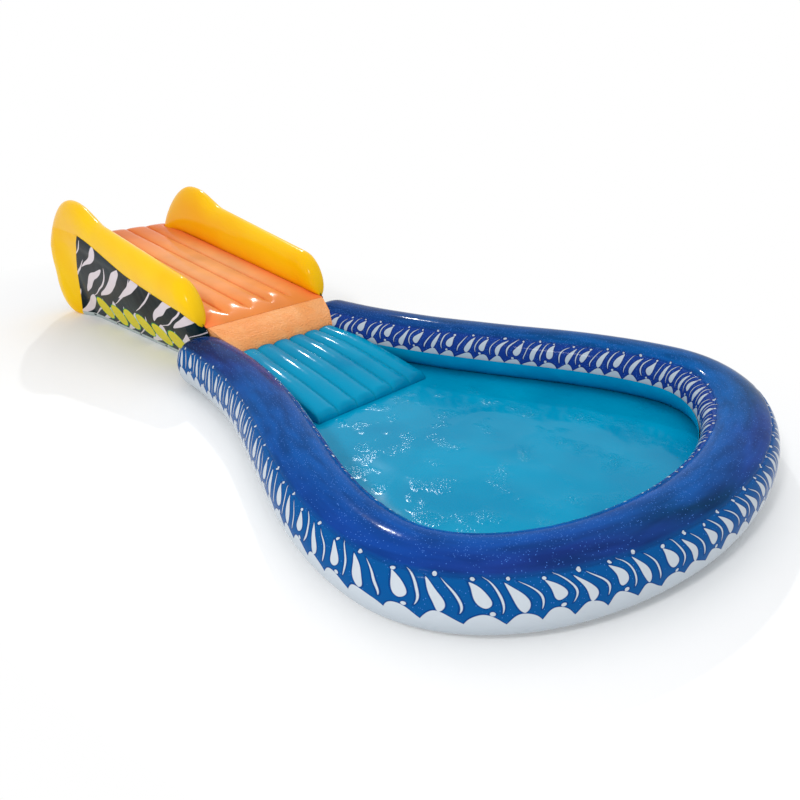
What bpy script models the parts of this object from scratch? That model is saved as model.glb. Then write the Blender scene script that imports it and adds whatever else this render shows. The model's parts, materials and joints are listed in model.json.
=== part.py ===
"""Inflatable paddling pool with a slide: a pear-shaped wall tube round a welded floor,
and a padded slide that runs down between the tube's two ends.

Metres, +Z up. The slide runs along +X into the pool and the pool is symmetric about Y = 0.
Everything is laid out from the seam at the foot of the slide's bed, and the finished model is
then moved along X so that the middle of its length is at X = 0.
"""
import math

import bmesh
import bpy
from mathutils import Matrix, Vector

# Vinyl and fits
SHEET = 0.001            # thickness of each welded sheet
GAP = 0.0003             # between pieces that touch

# Pool wall
WALL_WIDTH = 0.292       # across the tube
WALL_HEIGHT = 0.262
WALL_POWER = 2.3         # 2 is an ellipse, more is squarer
WALL_FOOT = 0.004        # how far the tube is pressed flat on the floor
NECK_WIDTH = 0.873       # between the middles of the tube at the slide
POOL_WIDTH = 2.04        # between the middles of the tube at the widest place
POOL_REACH = 1.926       # from the slide's foot to the widest place
POOL_END = 0.597         # from the widest place to the middle of the tube at the far end
NECK_START = 0.83        # where the sides' S-curve starts, behind the slide's foot
NECK_SKEW = 1.765        # above 1 keeps the neck slim for longer
TUBE_LAP = 0.09          # how far the tube's ends reach back beside the slide
TUBE_DOME = 0.14         # length of each rounded end
FLOOR_RIM = 0.05         # the floor's edge, outside the middle of the tube
LINER_HEIGHT = 0.110     # top of the coloured strip on the inside of the wall

# Slide bed
BED_WIDTH = 0.75         # over the air channels
BED_CHANNELS = 5
BED_LENGTH = 1.78        # level length
BED_FOOT = 0.293         # height of the bed's seams at its foot
BED_HEAD = 0.525         # and at its rear edge
BED_CROWN = 0.026        # how far each channel swells above its seams
BED_END_ROUND = 0.12     # length over which the channels close at each end
BED_MARGIN = 0.030       # flat edge outside the channels, under the bolsters
BED_PINCH = 0.15         # length over which the outer channels narrow to pass between the legs
WEB_HOLE = 0.05          # radius of the air holes through the webs
SIDE_TUCK = 0.06         # how far the slide's sides and legs lean in at the ground

# Side bolsters: pillows between an inner seam, along the bed and down the leg, and an outer edge
BOLSTER_THICKNESS = 0.14
BOLSTER_HEIGHT = 0.215   # above the bed at the foot
BOLSTER_GROW = 0.06      # extra height for each metre towards the rear
BOLSTER_POWER = 2.2
BOLSTER_SETBACK = 0.025  # from the foot of the bed to the bolster's front end
BOLSTER_SPLAY = 0.02     # how much farther out the outer edge stands than the seam
BOLSTER_TIP = 0.16       # length over which the front end rounds off
HORN_LENGTH = 0.38       # from the rear edge to the top of the horn
HORN_HEIGHT = 0.32       # above the bed
HORN_RUN = 0.35          # length over which the ridge climbs to the horn
LEG_LEAN = 0.35          # metres forward for each metre up
LEG_WIDTH = 0.175
LEG_TOE = 0.26           # height over which the foot rounds off
FOOT_PRESS = 0.010       # how much of the rounding is pressed flat on the ground

# Landing pad and ramp
PAD_DEPTH = 0.170        # what shows in front of the bed
PAD_WIDTH = 0.80         # at its rear edge, before it is fitted between the panels
PAD_NOSE_WIDTH = 0.69    # at its front edge
PAD_FRONT = 0.185        # height of its front edge
PAD_SOFT = 0.016         # how far its sides draw in
RAMP_LENGTH = 0.69
RAMP_TOP_WIDTH = 0.70
RAMP_FOOT_WIDTH = 0.76
RAMP_RIBS = 6
RAMP_CROWN = 0.018
RAMP_TOE = 0.030         # thickness at its foot, under the ribs' crowns
RAMP_STEP = 0.004        # its ribs' crowns below the pad's front edge
RAMP_CLEAR = 0.003       # beside it, to the wall's coloured strip

# Air valves, each with its axis along local +Z and its flange's underside at 0
FLANGE_RADIUS = 0.019
FLANGE_THICKNESS = 0.0015
STEM_RADIUS = 0.0075
STEM_BORE = 0.0055
STEM_HEIGHT = 0.012
STEM_DEPTH = 0.009
POCKET_RADIUS = 0.0115
POCKET_DEPTH = 0.026
RECESS = 0.003
PLUG_CAP_RADIUS = 0.0088
PLUG_CAP_THICKNESS = 0.002
PLUG_SHANK = 0.0085
PLUG_TAB_HEIGHT = 0.008
PLUG_TAPER = 0.9         # of a plug's radius, at its lower end
FLAP_RADIUS = 0.0066
FLAP_THICKNESS = 0.0008
BACK_VALVE_UP = 0.30     # height of the valve on the back panel
LEG_VALVE_UP = 0.30
WALL_VALVE_X = 0.45      # in front of the slide's foot
RAMP_VALVE_X = 0.62
RAMP_VALVE_UP = 0.045

# Drain in the floor
DRAIN_X = 1.50
DRAIN_Y = -0.70
DRAIN_FLANGE = 0.030
DRAIN_NECK = 0.020
DRAIN_BORE = 0.016
DRAIN_HEIGHT = 0.014
DRAIN_CAP = 0.022
DRAIN_WALL = 0.002

# Counts along and around the shapes
WALL_AROUND = 20
SIDE_STEPS = 20
END_STEPS = 24
DOME_STEPS = 5
BOLSTER_AROUND = 16
BED_STEPS = 14
CHANNEL_STEPS = 7
RIB_STEPS = 5
ROUND = 20

COLOURS = {
    "wall": (0.008, 0.045, 0.42, 0.25),
    "floor": (0.0, 0.33, 0.55, 0.3),
    "orange": (0.94, 0.29, 0.10, 0.35),
    "pad": (0.97, 0.38, 0.13, 0.5),
    "yellow": (1.0, 0.57, 0.005, 0.25),
    "panel": (0.002, 0.014, 0.022, 0.35),
    "teal": (0.0, 0.32, 0.48, 0.25),
    "clear": (0.75, 0.78, 0.80, 0.3),
    "grey": (0.55, 0.60, 0.68, 0.4),
}


def clear_scene():
    for old in list(bpy.data.objects):
        bpy.data.objects.remove(old, do_unlink=True)


def material(name):
    """The vinyl of one colour, made once."""
    known = bpy.data.materials.get(name)
    if known:
        return known
    made = bpy.data.materials.new(name)
    made.use_nodes = True
    red, green, blue, roughness = COLOURS[name]
    shader = made.node_tree.nodes["Principled BSDF"]
    shader.inputs["Base Color"].default_value = (red, green, blue, 1)
    shader.inputs["Roughness"].default_value = roughness
    shader.inputs["Metallic"].default_value = 0
    return made


def add_object(name, mesh_data, colour, parent=None):
    bmesh.ops.recalc_face_normals(mesh_data, faces=mesh_data.faces)
    mesh = bpy.data.meshes.new(name)
    mesh_data.to_mesh(mesh)
    mesh_data.free()
    mesh.shade_smooth()
    mesh.set_sharp_from_angle(angle=math.radians(40))
    made = bpy.data.objects.new(name, mesh)
    bpy.context.collection.objects.link(made)
    if colour:
        mesh.materials.append(material(colour))
    made.parent = parent
    return made


def sweep(name, rings, colour, parent=None):
    """A closed solid through rings of equal count, by extruding the first ring from place to place."""
    data = bmesh.new()
    loop = [data.verts.new(point) for point in rings[0]]
    first = data.faces.new(loop)
    edges = list(first.edges)
    for ring in rings[1:]:
        result = bmesh.ops.extrude_edge_only(data, edges=edges)
        fresh = [g for g in result["geom"] if isinstance(g, bmesh.types.BMVert)]
        twin = {tuple(v.co): v for v in fresh}
        loop = [twin[tuple(v.co)] for v in loop]
        for vert, point in zip(loop, ring):
            vert.co = point
        edges = [g for g in result["geom"] if isinstance(g, bmesh.types.BMEdge)
                 and g.verts[0] in twin.values() and g.verts[1] in twin.values()]
    data.faces.new(loop)
    # Flat faces only, so that a cut through them stays clean
    bmesh.ops.triangulate(data, faces=data.faces)
    return add_object(name, data, colour, parent)


def plate(name, outline, thickness, colour, place=Matrix()):
    """A flat sheet: an outline in local X and Y, as thick as stated along local +Z, then placed."""
    data = bmesh.new()
    face = data.faces.new([data.verts.new((x, y, 0)) for x, y in outline])
    result = bmesh.ops.extrude_face_region(data, geom=[face])
    raised = [g for g in result["geom"] if isinstance(g, bmesh.types.BMVert)]
    bmesh.ops.translate(data, verts=raised, vec=(0, 0, thickness))
    bmesh.ops.transform(data, matrix=place, verts=data.verts)
    return add_object(name, data, colour)


def turned(name, profile, colour, parent=None, steps=ROUND):
    """A solid of revolution about local Z from (radius, height) points that close on themselves."""
    data = bmesh.new()
    loop = [data.verts.new((radius, 0, height)) for radius, height in profile]
    count = len(loop)
    edges = [data.edges.new((loop[i], loop[(i + 1) % count])) for i in range(count)]
    bmesh.ops.spin(data, geom=loop + edges, cent=(0, 0, 0), axis=(0, 0, 1), angle=math.tau,
                   steps=steps, use_merge=True)
    bmesh.ops.remove_doubles(data, verts=data.verts, dist=1e-6)
    bmesh.ops.dissolve_degenerate(data, edges=data.edges, dist=1e-6)
    return add_object(name, data, colour, parent)


def disc(name, radius, low, high, colour=None, parent=None, centre=(0, 0), steps=ROUND):
    """A short cylinder between two heights."""
    data = bmesh.new()
    middle = Matrix.Translation((centre[0], centre[1], (low + high) / 2))
    bmesh.ops.create_cone(data, cap_ends=True, segments=steps, radius1=radius, radius2=radius,
                          depth=high - low, matrix=middle)
    return add_object(name, data, colour, parent)


def hide_tool(tool):
    tool.hide_render = True
    tool.display_type = "WIRE"
    return tool


def boolean(target, tool, operation="DIFFERENCE"):
    """Cuts a tool out of a piece, or joins it on."""
    modifier = target.modifiers.new(tool.name, "BOOLEAN")
    modifier.object = hide_tool(tool)
    modifier.operation = operation


def rounded(value, power):
    """Sine or cosine bent so that a circle becomes a squarer superellipse."""
    return math.copysign(abs(value) ** (2 / power), value)


# Pool wall, floor and liner


def side_width(x):
    """Distance from Y = 0 to the middle of the tube, along the S-curved side."""
    share = (x + NECK_START) / (POOL_REACH + NECK_START)
    swell = 0.5 * (1 - math.cos(math.pi * max(share, 0) ** NECK_SKEW))
    return NECK_WIDTH / 2 + (POOL_WIDTH - NECK_WIDTH) / 2 * swell


def wall_path():
    """The middle of the tube from one end round to the other: (x, y, share of full section)."""
    half = []
    dome_end = TUBE_DOME - TUBE_LAP
    for step in range(DOME_STEPS, 0, -1):
        angle = math.radians(84) * step / DOME_STEPS
        x = dome_end - TUBE_DOME * math.sin(angle)
        half.append((x, side_width(x), math.cos(angle) ** 0.8))
    for step in range(SIDE_STEPS):
        x = dome_end + (POOL_REACH - dome_end) * step / SIDE_STEPS
        half.append((x, side_width(x), 1.0))
    for step in range(END_STEPS // 2):
        angle = math.pi * step / END_STEPS
        half.append((POOL_REACH + POOL_END * math.sin(angle), POOL_WIDTH / 2 * math.cos(angle), 1.0))
    tip = (POOL_REACH + POOL_END, 0.0, 1.0)
    return half + [tip] + [(x, -y, share) for x, y, share in reversed(half)]


def outward(path, index):
    """The level direction out of the pool at one place, lengthened for the mitre there."""
    sides = []
    for low, high in ((index - 1, index), (index, index + 1)):
        if low < 0 or high == len(path):
            continue
        along = Vector(path[high][:2]) - Vector(path[low][:2])
        sides.append(Vector((-along.y, along.x)).normalized())
    mean = (sides[0] + sides[-1]).normalized()
    mitre = mean / mean.dot(sides[0])
    return Vector((mitre.x, mitre.y, 0))


def wall_point(path, index, angle, grow=0.0):
    """A point on the tube's skin: angle 0 is the outside, 90 degrees the top."""
    x, y, share = path[index]
    seat = SHEET + GAP
    half_height = (WALL_HEIGHT - seat + WALL_FOOT) / 2
    centre = WALL_HEIGHT - half_height
    out = (WALL_WIDTH / 2 * share + grow) * rounded(math.cos(angle), WALL_POWER)
    up = (half_height * share + grow) * rounded(math.sin(angle), WALL_POWER)
    point = Vector((x, y, 0)) + outward(path, index) * out
    point.z = max(centre + up, seat - grow)
    return point


def wall_tube(name, colour, grow=0.0):
    path = wall_path()
    rings = []
    for index in range(len(path)):
        rings.append([wall_point(path, index, math.tau * k / WALL_AROUND, grow)
                      for k in range(WALL_AROUND)])
    return sweep(name, rings, colour)


def wall_strip(path, index, grow, low, high):
    """Points down the inside of the tube between two heights, on the edges of its facets."""
    quarter = WALL_AROUND // 4
    ring = [wall_point(path, index, math.tau * k / WALL_AROUND, grow)
            for k in range(2 * quarter, 3 * quarter + 1)]
    strip = []
    for upper, lower in zip(ring, ring[1:]):
        if upper.z > high > lower.z:
            strip.append(upper.lerp(lower, (upper.z - high) / (upper.z - lower.z)))
        if low < lower.z < high:
            strip.append(lower)
        if upper.z > low >= lower.z:
            strip.append(upper.lerp(lower, (upper.z - low) / (upper.z - lower.z)))
    return strip


def wall_liner():
    """The coloured strip welded to the inside of the wall, from the floor up to LINER_HEIGHT."""
    path = wall_path()
    low = SHEET + GAP * 2
    rings = []
    for index in range(DOME_STEPS, len(path) - DOME_STEPS):
        skin = wall_strip(path, index, GAP, low, LINER_HEIGHT)
        face = wall_strip(path, index, GAP + SHEET, low, LINER_HEIGHT)
        rings.append(skin + face[::-1])
    return sweep("wall_liner", rings, "floor")


def pool_floor():
    path = wall_path()
    outline = []
    for index, (x, y, share) in enumerate(path):
        edge = Vector((x, y, 0)) + outward(path, index) * FLOOR_RIM * share
        outline.append((max(edge.x, -TUBE_LAP), edge.y))
    return plate("pool_floor", outline, SHEET, "floor")


# Slide


def bed_height(x):
    """Height of the bed's seams, x metres from its foot; the bed runs towards -X."""
    return BED_FOOT + (BED_HEAD - BED_FOOT) * -x / BED_LENGTH


def end_fade(distance, length):
    """0 at an end, 1 from one length inside it, rising like a quarter of an ellipse."""
    share = min(max(distance / length, 0), 1)
    return math.sqrt(1 - (1 - share) ** 2)


def tuck(height):
    """How far the slide's sides stand in from the bed's edge at a height."""
    return SIDE_TUCK * (1 - height / BED_HEAD)


def leg_front(height):
    """The leg's front seam at a height."""
    return -BED_LENGTH + LEG_LEAN * height


def seam_lift():
    """The bolster's seam above the bed's, so that its air space clears the bed as well."""
    return GAP * 2


def seam_corner():
    """Where the bolster's seam along the bed meets the seam down the leg."""
    slope = (BED_HEAD - BED_FOOT) / BED_LENGTH
    return (LEG_LEAN * (BED_FOOT + seam_lift()) - BED_LENGTH) / (1 + LEG_LEAN * slope)


def seam_y():
    """The bolster's inner seam stands on the bed's flat margin."""
    return BED_WIDTH / 2 + BED_MARGIN


def edge_y():
    return seam_y() + BOLSTER_SPLAY


def bolster_stations():
    """Pairs of points, inner seam then outer edge, and the share of full thickness at each."""
    corner = seam_corner()
    level = bed_height(corner) + seam_lift()
    peak = HORN_LENGTH - BED_LENGTH
    stations = []
    rounds = [BOLSTER_TIP * (1 - math.cos(math.radians(15 + 75 * k / 5))) for k in range(5)]
    arm = 11
    start = BOLSTER_SETBACK + BOLSTER_TIP
    rounds += [BOLSTER_TIP + (-peak - start) * k / arm for k in range(arm)]
    for along in rounds:
        x = -BOLSTER_SETBACK - along
        low = bed_height(x) + seam_lift()
        round_off = end_fade(along, BOLSTER_TIP)
        high = low + (BOLSTER_HEIGHT - BOLSTER_GROW * x) * round_off
        climb = min(max((peak + HORN_RUN - x) / HORN_RUN, 0), 1)
        high += (level + HORN_HEIGHT - high) * climb ** 2 * (3 - 2 * climb)
        stations.append((Vector((x, seam_y(), low)), Vector((x, edge_y(), high)), round_off ** 0.8))
    bend = 8
    for k in range(bend + 1):
        x = peak + (corner - peak) * k / bend
        angle = math.pi / 2 * k / bend
        rear = leg_front(level) - LEG_WIDTH
        edge = Vector((peak + (rear - peak) * math.sin(angle), edge_y(),
                       level + HORN_HEIGHT * math.cos(angle)))
        stations.append((Vector((x, seam_y(), bed_height(x) + seam_lift())), edge, 1.0))
    heights = [level + (LEG_TOE - level) * k / 3 for k in (1, 2)]
    heights += [LEG_TOE * (1 - math.sin(math.pi / 2 * k / 5)) for k in range(6)]
    for height in heights:
        round_off = end_fade(height + FOOT_PRESS, LEG_TOE)
        front = Vector((leg_front(height), seam_y() - tuck(height), height))
        rear = front + Vector((-LEG_WIDTH, BOLSTER_SPLAY, 0)) * round_off
        stations.append((front, rear, round_off ** 0.8))
    return stations


def bolster(name, side, colour, grow=0.0):
    """One side bolster: from its tip up the slope, over the horn and down the rear leg."""
    rings = []
    for seam, edge, share in bolster_stations():
        middle = (seam + edge) / 2
        reach = (edge - seam) / 2
        across = Vector((0, 1, 0)) - reach * (reach.y / reach.length_squared)
        across *= (BOLSTER_THICKNESS / 2 * share + grow) / across.length
        reach *= (reach.length + grow) / reach.length
        ring = []
        for k in range(BOLSTER_AROUND):
            angle = math.tau * k / BOLSTER_AROUND
            point = middle + reach * rounded(math.sin(angle), BOLSTER_POWER)
            point += across * rounded(math.cos(angle), BOLSTER_POWER)
            point.y *= side
            ring.append(point)
        rings.append(ring)
    return sweep(name, rings, colour)


def bed_edge(x):
    """Half the width of the bed's channels, narrower between the legs, and its flat margin."""
    tight = seam_y() - BOLSTER_THICKNESS / 2 - GAP * 4
    share = min(max((x - seam_corner()) / BED_PINCH - 0.1, 0), 1)
    share = share ** 2 * (3 - 2 * share)
    return tight + (BED_WIDTH / 2 - tight) * share, BED_MARGIN * share + GAP


def bed_sheet():
    """The slide's top sheet, drawn into channels by the webs below it."""
    count = BED_CHANNELS * CHANNEL_STEPS
    outer_seam = BED_WIDTH / 2 - BED_WIDTH / BED_CHANNELS
    rings = []
    for step in range(BED_STEPS + 1):
        share = 0.5 - 0.5 * math.cos(math.pi * step / BED_STEPS)
        x = -BED_LENGTH * share
        crown = BED_CROWN * min(end_fade(-x, BED_END_ROUND), end_fade(BED_LENGTH + x, BED_END_ROUND))
        half, margin = bed_edge(x)
        squeeze = (half - outer_seam) / (BED_WIDTH / 2 - outer_seam)
        base = bed_height(x)
        top = [Vector((x, -half - margin, base))]
        for k in range(count + 1):
            y = BED_WIDTH * (k / count - 0.5)
            if abs(y) > outer_seam:
                y = math.copysign(outer_seam + (abs(y) - outer_seam) * squeeze, y)
            arch = math.sin(math.pi * (k % CHANNEL_STEPS) / CHANNEL_STEPS) ** 0.7 if k < count else 0
            top.append(Vector((x, y, base + crown * arch)))
        top.append(Vector((x, half + margin, base)))
        low = [point - Vector((0, 0, SHEET)) for point in top]
        rings.append(top + low[::-1])
    return sweep("bed_sheet", rings, "orange")


def body_front():
    """Where the slide's air chamber ends, just behind the tube's rounded ends."""
    return -TUBE_LAP - GAP * 2 - SHEET


def under_bed(x):
    return bed_height(x) - SHEET - GAP


def upright(y, lean=0.0):
    """Stands a sheet drawn in X and Z on the line Y = y, its thickness towards Y = 0."""
    across = -1 if y > 0 else 1
    return Matrix(((1, 0, 0, 0), (0, -across * lean, across, y), (0, 1, 0, 0), (0, 0, 0, 1)))


def side_panel(name, side):
    """The sheet that closes one side below the bed, from the leg to the end of the tube."""
    low = SHEET + GAP
    rear = -BED_LENGTH + SHEET + GAP
    front = -TUBE_LAP - GAP
    middle = WALL_HEIGHT / 2
    crossing = (rear + BED_LENGTH + LEG_WIDTH / 2) / LEG_LEAN
    top = seam_corner() - LEG_WIDTH / 2
    outline = [(rear, low), (front, low), (front, middle), (0, middle), (0, under_bed(0)),
               (top, under_bed(top)), (rear, crossing)]
    foot = side * (BED_WIDTH / 2 - SIDE_TUCK)
    panel = plate(name, outline, SHEET, "panel", upright(foot, SIDE_TUCK / BED_HEAD))
    boolean(panel, bpy.data.objects["wall_space"])
    boolean(panel, bpy.data.objects["left_space" if side > 0 else "right_space"])
    return panel


def across_body(name, x, colour):
    """A sheet across the inside of the slide, its thickness towards +X."""
    low = SHEET + GAP
    top = min(under_bed(x), under_bed(x + SHEET))
    inside = BED_WIDTH / 2 - SHEET - GAP
    foot = inside - tuck(low)
    head = inside - tuck(top)
    outline = [(-foot, low), (foot, low), (head, top), (-head, top)]
    stand = Matrix(((0, 0, 1, x), (1, 0, 0, 0), (0, 1, 0, 0), (0, 0, 0, 1)))
    return plate(name, outline, SHEET, colour, stand)


def base_sheet():
    front = -TUBE_LAP - GAP
    half = BED_WIDTH / 2 - SIDE_TUCK
    outline = [(-BED_LENGTH, -half), (front, -half), (front, half), (-BED_LENGTH, half)]
    return plate("base_sheet", outline, SHEET, "grey")


def bed_web(number):
    """One of the sheets inside the slide that tie the bed's seams down to the base."""
    y = BED_WIDTH * (number / BED_CHANNELS - 0.5)
    low = SHEET + GAP
    front = body_front() - GAP
    rear = -BED_LENGTH + SHEET + GAP
    outline = [(rear, low), (front, low), (front, under_bed(front)), (rear, under_bed(rear))]
    web = plate(f"bed_web_{number}", outline, SHEET, "grey", upright(y + math.copysign(SHEET / 2, y)))
    for hole in range(3):
        x = rear + (front - rear) * (hole + 0.5) / 3
        tool = disc(f"web_hole_{number}_{hole}", WEB_HOLE, -0.01, 0.01, steps=12)
        tool.matrix_world = Matrix.Translation((x, y, bed_height(x) / 2)) @ Matrix.Rotation(
            math.pi / 2, 4, "X")
        boolean(web, tool)
    return web


def side_space(side):
    """The room that a side panel needs beside the pad, and everything outside it."""
    spare = WALL_WIDTH / 2
    outline = [(-TUBE_LAP - spare, -spare), (GAP, -spare), (GAP, BED_HEAD),
               (-TUBE_LAP - spare, BED_HEAD)]
    foot = side * (BED_WIDTH / 2 - SIDE_TUCK + spare)
    stand = upright(foot, SIDE_TUCK / BED_HEAD)
    return hide_tool(plate(f"side_space_{side}", outline, spare + SHEET + GAP, None, stand))


def landing_pad():
    """The cushion that fills the pool's opening and carries the foot of the bed."""
    rear = -TUBE_LAP
    low = SHEET + GAP
    top = under_bed(0)
    profile = [(rear, low), (rear, under_bed(rear))]
    curve = 7
    for step in range(curve + 1):
        angle = math.pi / 2 * step / curve
        profile.append((PAD_DEPTH * math.sin(angle), PAD_FRONT + (top - PAD_FRONT) * math.cos(angle)))
    profile.append((PAD_DEPTH, low))
    rings = []
    width_steps = 10
    for step in range(width_steps + 1):
        share = math.sin(math.pi * (step / width_steps - 0.5))
        draw = PAD_SOFT * share ** 4
        ring = []
        for x, z in profile:
            lift = (z - low) / (top - low)
            front = x - draw * lift * max(x, 0) / PAD_DEPTH
            taper = (front - rear) / (PAD_DEPTH - rear)
            half = (PAD_WIDTH + (PAD_NOSE_WIDTH - PAD_WIDTH) * taper) / 2
            ring.append(Vector((front, half * share, z - draw * lift)))
        rings.append(ring)
    pad = sweep("landing_pad", rings, "pad")
    boolean(pad, bpy.data.objects["wall_space"])
    for side in (1, -1):
        boolean(pad, side_space(side))
    return pad


def ramp_half(x):
    """Half the ramp's width, which gives way where the wall's two sides leave less."""
    share = (x - PAD_DEPTH) / RAMP_LENGTH
    flared = (RAMP_TOP_WIDTH + (RAMP_FOOT_WIDTH - RAMP_TOP_WIDTH) * share) / 2
    return min(flared, side_width(x) - WALL_WIDTH / 2 - SHEET - RAMP_CLEAR)


def ramp_height(x):
    """Height of the seams between the ramp's ribs."""
    share = (x - PAD_DEPTH) / RAMP_LENGTH
    top = PAD_FRONT - RAMP_CROWN - RAMP_STEP
    return top + (RAMP_TOE - top) * share


def entry_ramp():
    """The ribbed wedge from the pad's front down to the pool's floor."""
    low = SHEET + GAP
    count = RAMP_RIBS * RIB_STEPS
    end = PAD_DEPTH + RAMP_LENGTH
    places = [PAD_DEPTH + GAP + (RAMP_LENGTH - RAMP_TOE - GAP) * k / 7 for k in range(8)]
    places += [end - RAMP_TOE * (1 - math.sin(math.pi / 2 * k / 4)) for k in range(1, 5)]
    rings = []
    for x in places:
        half = ramp_half(x)
        round_off = 0.15 + 0.85 * end_fade(end - x, RAMP_TOE)
        base = low + (ramp_height(x) - low) * round_off
        crown = RAMP_CROWN * round_off
        ring = [Vector((x, half, low)), Vector((x, -half, low))]
        for k in range(count + 1):
            y = half * (2 * k / count - 1)
            arch = math.sin(math.pi * (k % RIB_STEPS) / RIB_STEPS) ** 0.7 if k < count else 0
            ring.append(Vector((x, y, base + crown * arch)))
        rings.append(ring)
    return sweep("entry_ramp", rings, "teal")


# Valves


def valve_frame(name, point, out):
    """An empty whose +Z is a valve's axis, pointing away from the chamber."""
    frame = bpy.data.objects.new(name, None)
    bpy.context.collection.objects.link(frame)
    turn = out.to_track_quat("Z", "X").to_matrix().to_4x4()
    frame.matrix_world = Matrix.Translation(point) @ turn
    return frame


def air_valve(name, point, out, chamber, in_sheet=False):
    """A stem welded in, the plug in its bore and the flap that hangs shut behind it."""
    depth = 0 if in_sheet else RECESS
    frame = valve_frame(name + "_frame", point - out * depth, out)
    pocket = disc(name + "_pocket", POCKET_RADIUS, -POCKET_DEPTH, depth + 0.01, parent=frame)
    boolean(chamber, pocket)
    if not in_sheet:
        seat = disc(name + "_seat", FLANGE_RADIUS + GAP * 2, 0, depth + 0.01, parent=frame)
        boolean(chamber, seat)
    top = GAP + FLANGE_THICKNESS
    turned(name + "_stem", [
        (STEM_BORE, -STEM_DEPTH), (STEM_RADIUS, -STEM_DEPTH), (STEM_RADIUS, GAP),
        (FLANGE_RADIUS, GAP), (FLANGE_RADIUS, top), (STEM_RADIUS, top),
        (STEM_RADIUS, STEM_HEIGHT), (STEM_BORE, STEM_HEIGHT)], "clear", frame)
    cap = STEM_HEIGHT + GAP
    shank = STEM_BORE - GAP
    plug = turned(name + "_plug", [
        (0, cap - PLUG_SHANK), (shank * PLUG_TAPER, cap - PLUG_SHANK), (shank, cap - PLUG_SHANK + 0.001),
        (shank, cap), (PLUG_CAP_RADIUS, cap), (PLUG_CAP_RADIUS, cap + PLUG_CAP_THICKNESS),
        (0, cap + PLUG_CAP_THICKNESS)], "clear", frame)
    tab = disc(name + "_tab", PLUG_CAP_RADIUS * 0.6, -0.0012, 0.0012, parent=frame, steps=12)
    tab.matrix_local = Matrix.Translation((0, 0, cap + PLUG_CAP_THICKNESS + PLUG_TAB_HEIGHT * 0.3)) @ (
        Matrix.Rotation(math.pi / 2, 4, "X"))
    boolean(plug, tab, "UNION")
    flap = disc(name + "_flap", FLAP_RADIUS, -FLAP_THICKNESS, 0, "clear", frame,
                centre=(-FLAP_RADIUS, 0), steps=16)
    flap.location = (FLAP_RADIUS, 0, -STEM_DEPTH - GAP)
    return frame


def all_valves(wall, left, right, back, ramp):
    path = wall_path()
    index = min(range(len(path) // 2), key=lambda i: abs(path[i][0] - WALL_VALVE_X))
    out = outward(path, index).normalized()
    air_valve("wall_valve", wall_point(path, index, 0.0), out, wall)
    rearward = Vector((-1, 0, LEG_LEAN)).normalized()
    for name, piece, side in (("left_valve", left, 1), ("right_valve", right, -1)):
        spot = Vector((leg_front(LEG_VALVE_UP) - LEG_WIDTH, 0, LEG_VALVE_UP))
        spot.y = side * (edge_y() - tuck(LEG_VALVE_UP))
        air_valve(name, spot, rearward, piece)
    air_valve("back_valve", Vector((-BED_LENGTH, 0, BACK_VALVE_UP)), Vector((-1, 0, 0)), back,
              in_sheet=True)
    flare = (RAMP_FOOT_WIDTH - RAMP_TOP_WIDTH) / 2 / RAMP_LENGTH
    out = Vector((flare, -1, 0)).normalized()
    spot = Vector((RAMP_VALVE_X, -ramp_half(RAMP_VALVE_X), RAMP_VALVE_UP))
    air_valve("ramp_valve", spot, out, ramp)


def drain(floor):
    """A short neck welded into the floor, with its push-in plug."""
    frame = valve_frame("drain_frame", Vector((DRAIN_X, DRAIN_Y, SHEET)), Vector((0, 0, 1)))
    boolean(floor, disc("drain_hole", DRAIN_BORE, -0.01, 0.01, parent=frame))
    top = GAP + DRAIN_WALL
    turned("drain_neck", [
        (DRAIN_BORE, GAP), (DRAIN_FLANGE, GAP), (DRAIN_FLANGE, top), (DRAIN_NECK, top),
        (DRAIN_NECK, DRAIN_HEIGHT), (DRAIN_BORE, DRAIN_HEIGHT)], "clear", frame)
    cap = DRAIN_HEIGHT + GAP
    shank = DRAIN_BORE - GAP
    turned("drain_plug", [
        (0, top), (shank * PLUG_TAPER, top), (shank, top + DRAIN_WALL), (shank, cap), (DRAIN_CAP, cap),
        (DRAIN_CAP, cap + DRAIN_WALL), (0, cap + DRAIN_WALL)], "clear", frame)


def centre_along_x():
    """Moves the model so that the middle of its length is at X = 0."""
    bpy.context.view_layer.update()
    shown = [o for o in bpy.data.objects if o.type == "MESH" and not o.hide_render]
    spots = [(o.matrix_world @ v.co).x for o in shown for v in o.data.vertices]
    middle = (min(spots) + max(spots)) / 2
    for piece in bpy.data.objects:
        if piece.parent is None:
            piece.location.x -= middle
    bpy.context.view_layer.update()


def main():
    clear_scene()
    wall = wall_tube("pool_wall", "wall")
    hide_tool(wall_tube("wall_space", None, grow=SHEET + GAP * 2))
    left = bolster("left_bolster", 1, "yellow")
    right = bolster("right_bolster", -1, "yellow")
    hide_tool(bolster("left_space", 1, None, grow=GAP))
    hide_tool(bolster("right_space", -1, None, grow=GAP))
    wall_liner()
    floor = pool_floor()
    landing_pad()
    ramp = entry_ramp()
    bed_sheet()
    for number in range(1, BED_CHANNELS):
        bed_web(number)
    side_panel("left_side_panel", 1)
    side_panel("right_side_panel", -1)
    back = across_body("back_panel", -BED_LENGTH, "panel")
    for space in ("left_space", "right_space"):
        boolean(back, bpy.data.objects[space])
    across_body("front_panel", body_front(), "grey")
    base_sheet()
    all_valves(wall, left, right, back, ramp)
    drain(floor)
    centre_along_x()


main()
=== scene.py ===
import json
import math
from bisect import bisect_right

import bmesh
import bpy
from mathutils import Matrix, Vector, noise
from mathutils.bvhtree import BVHTree


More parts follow.
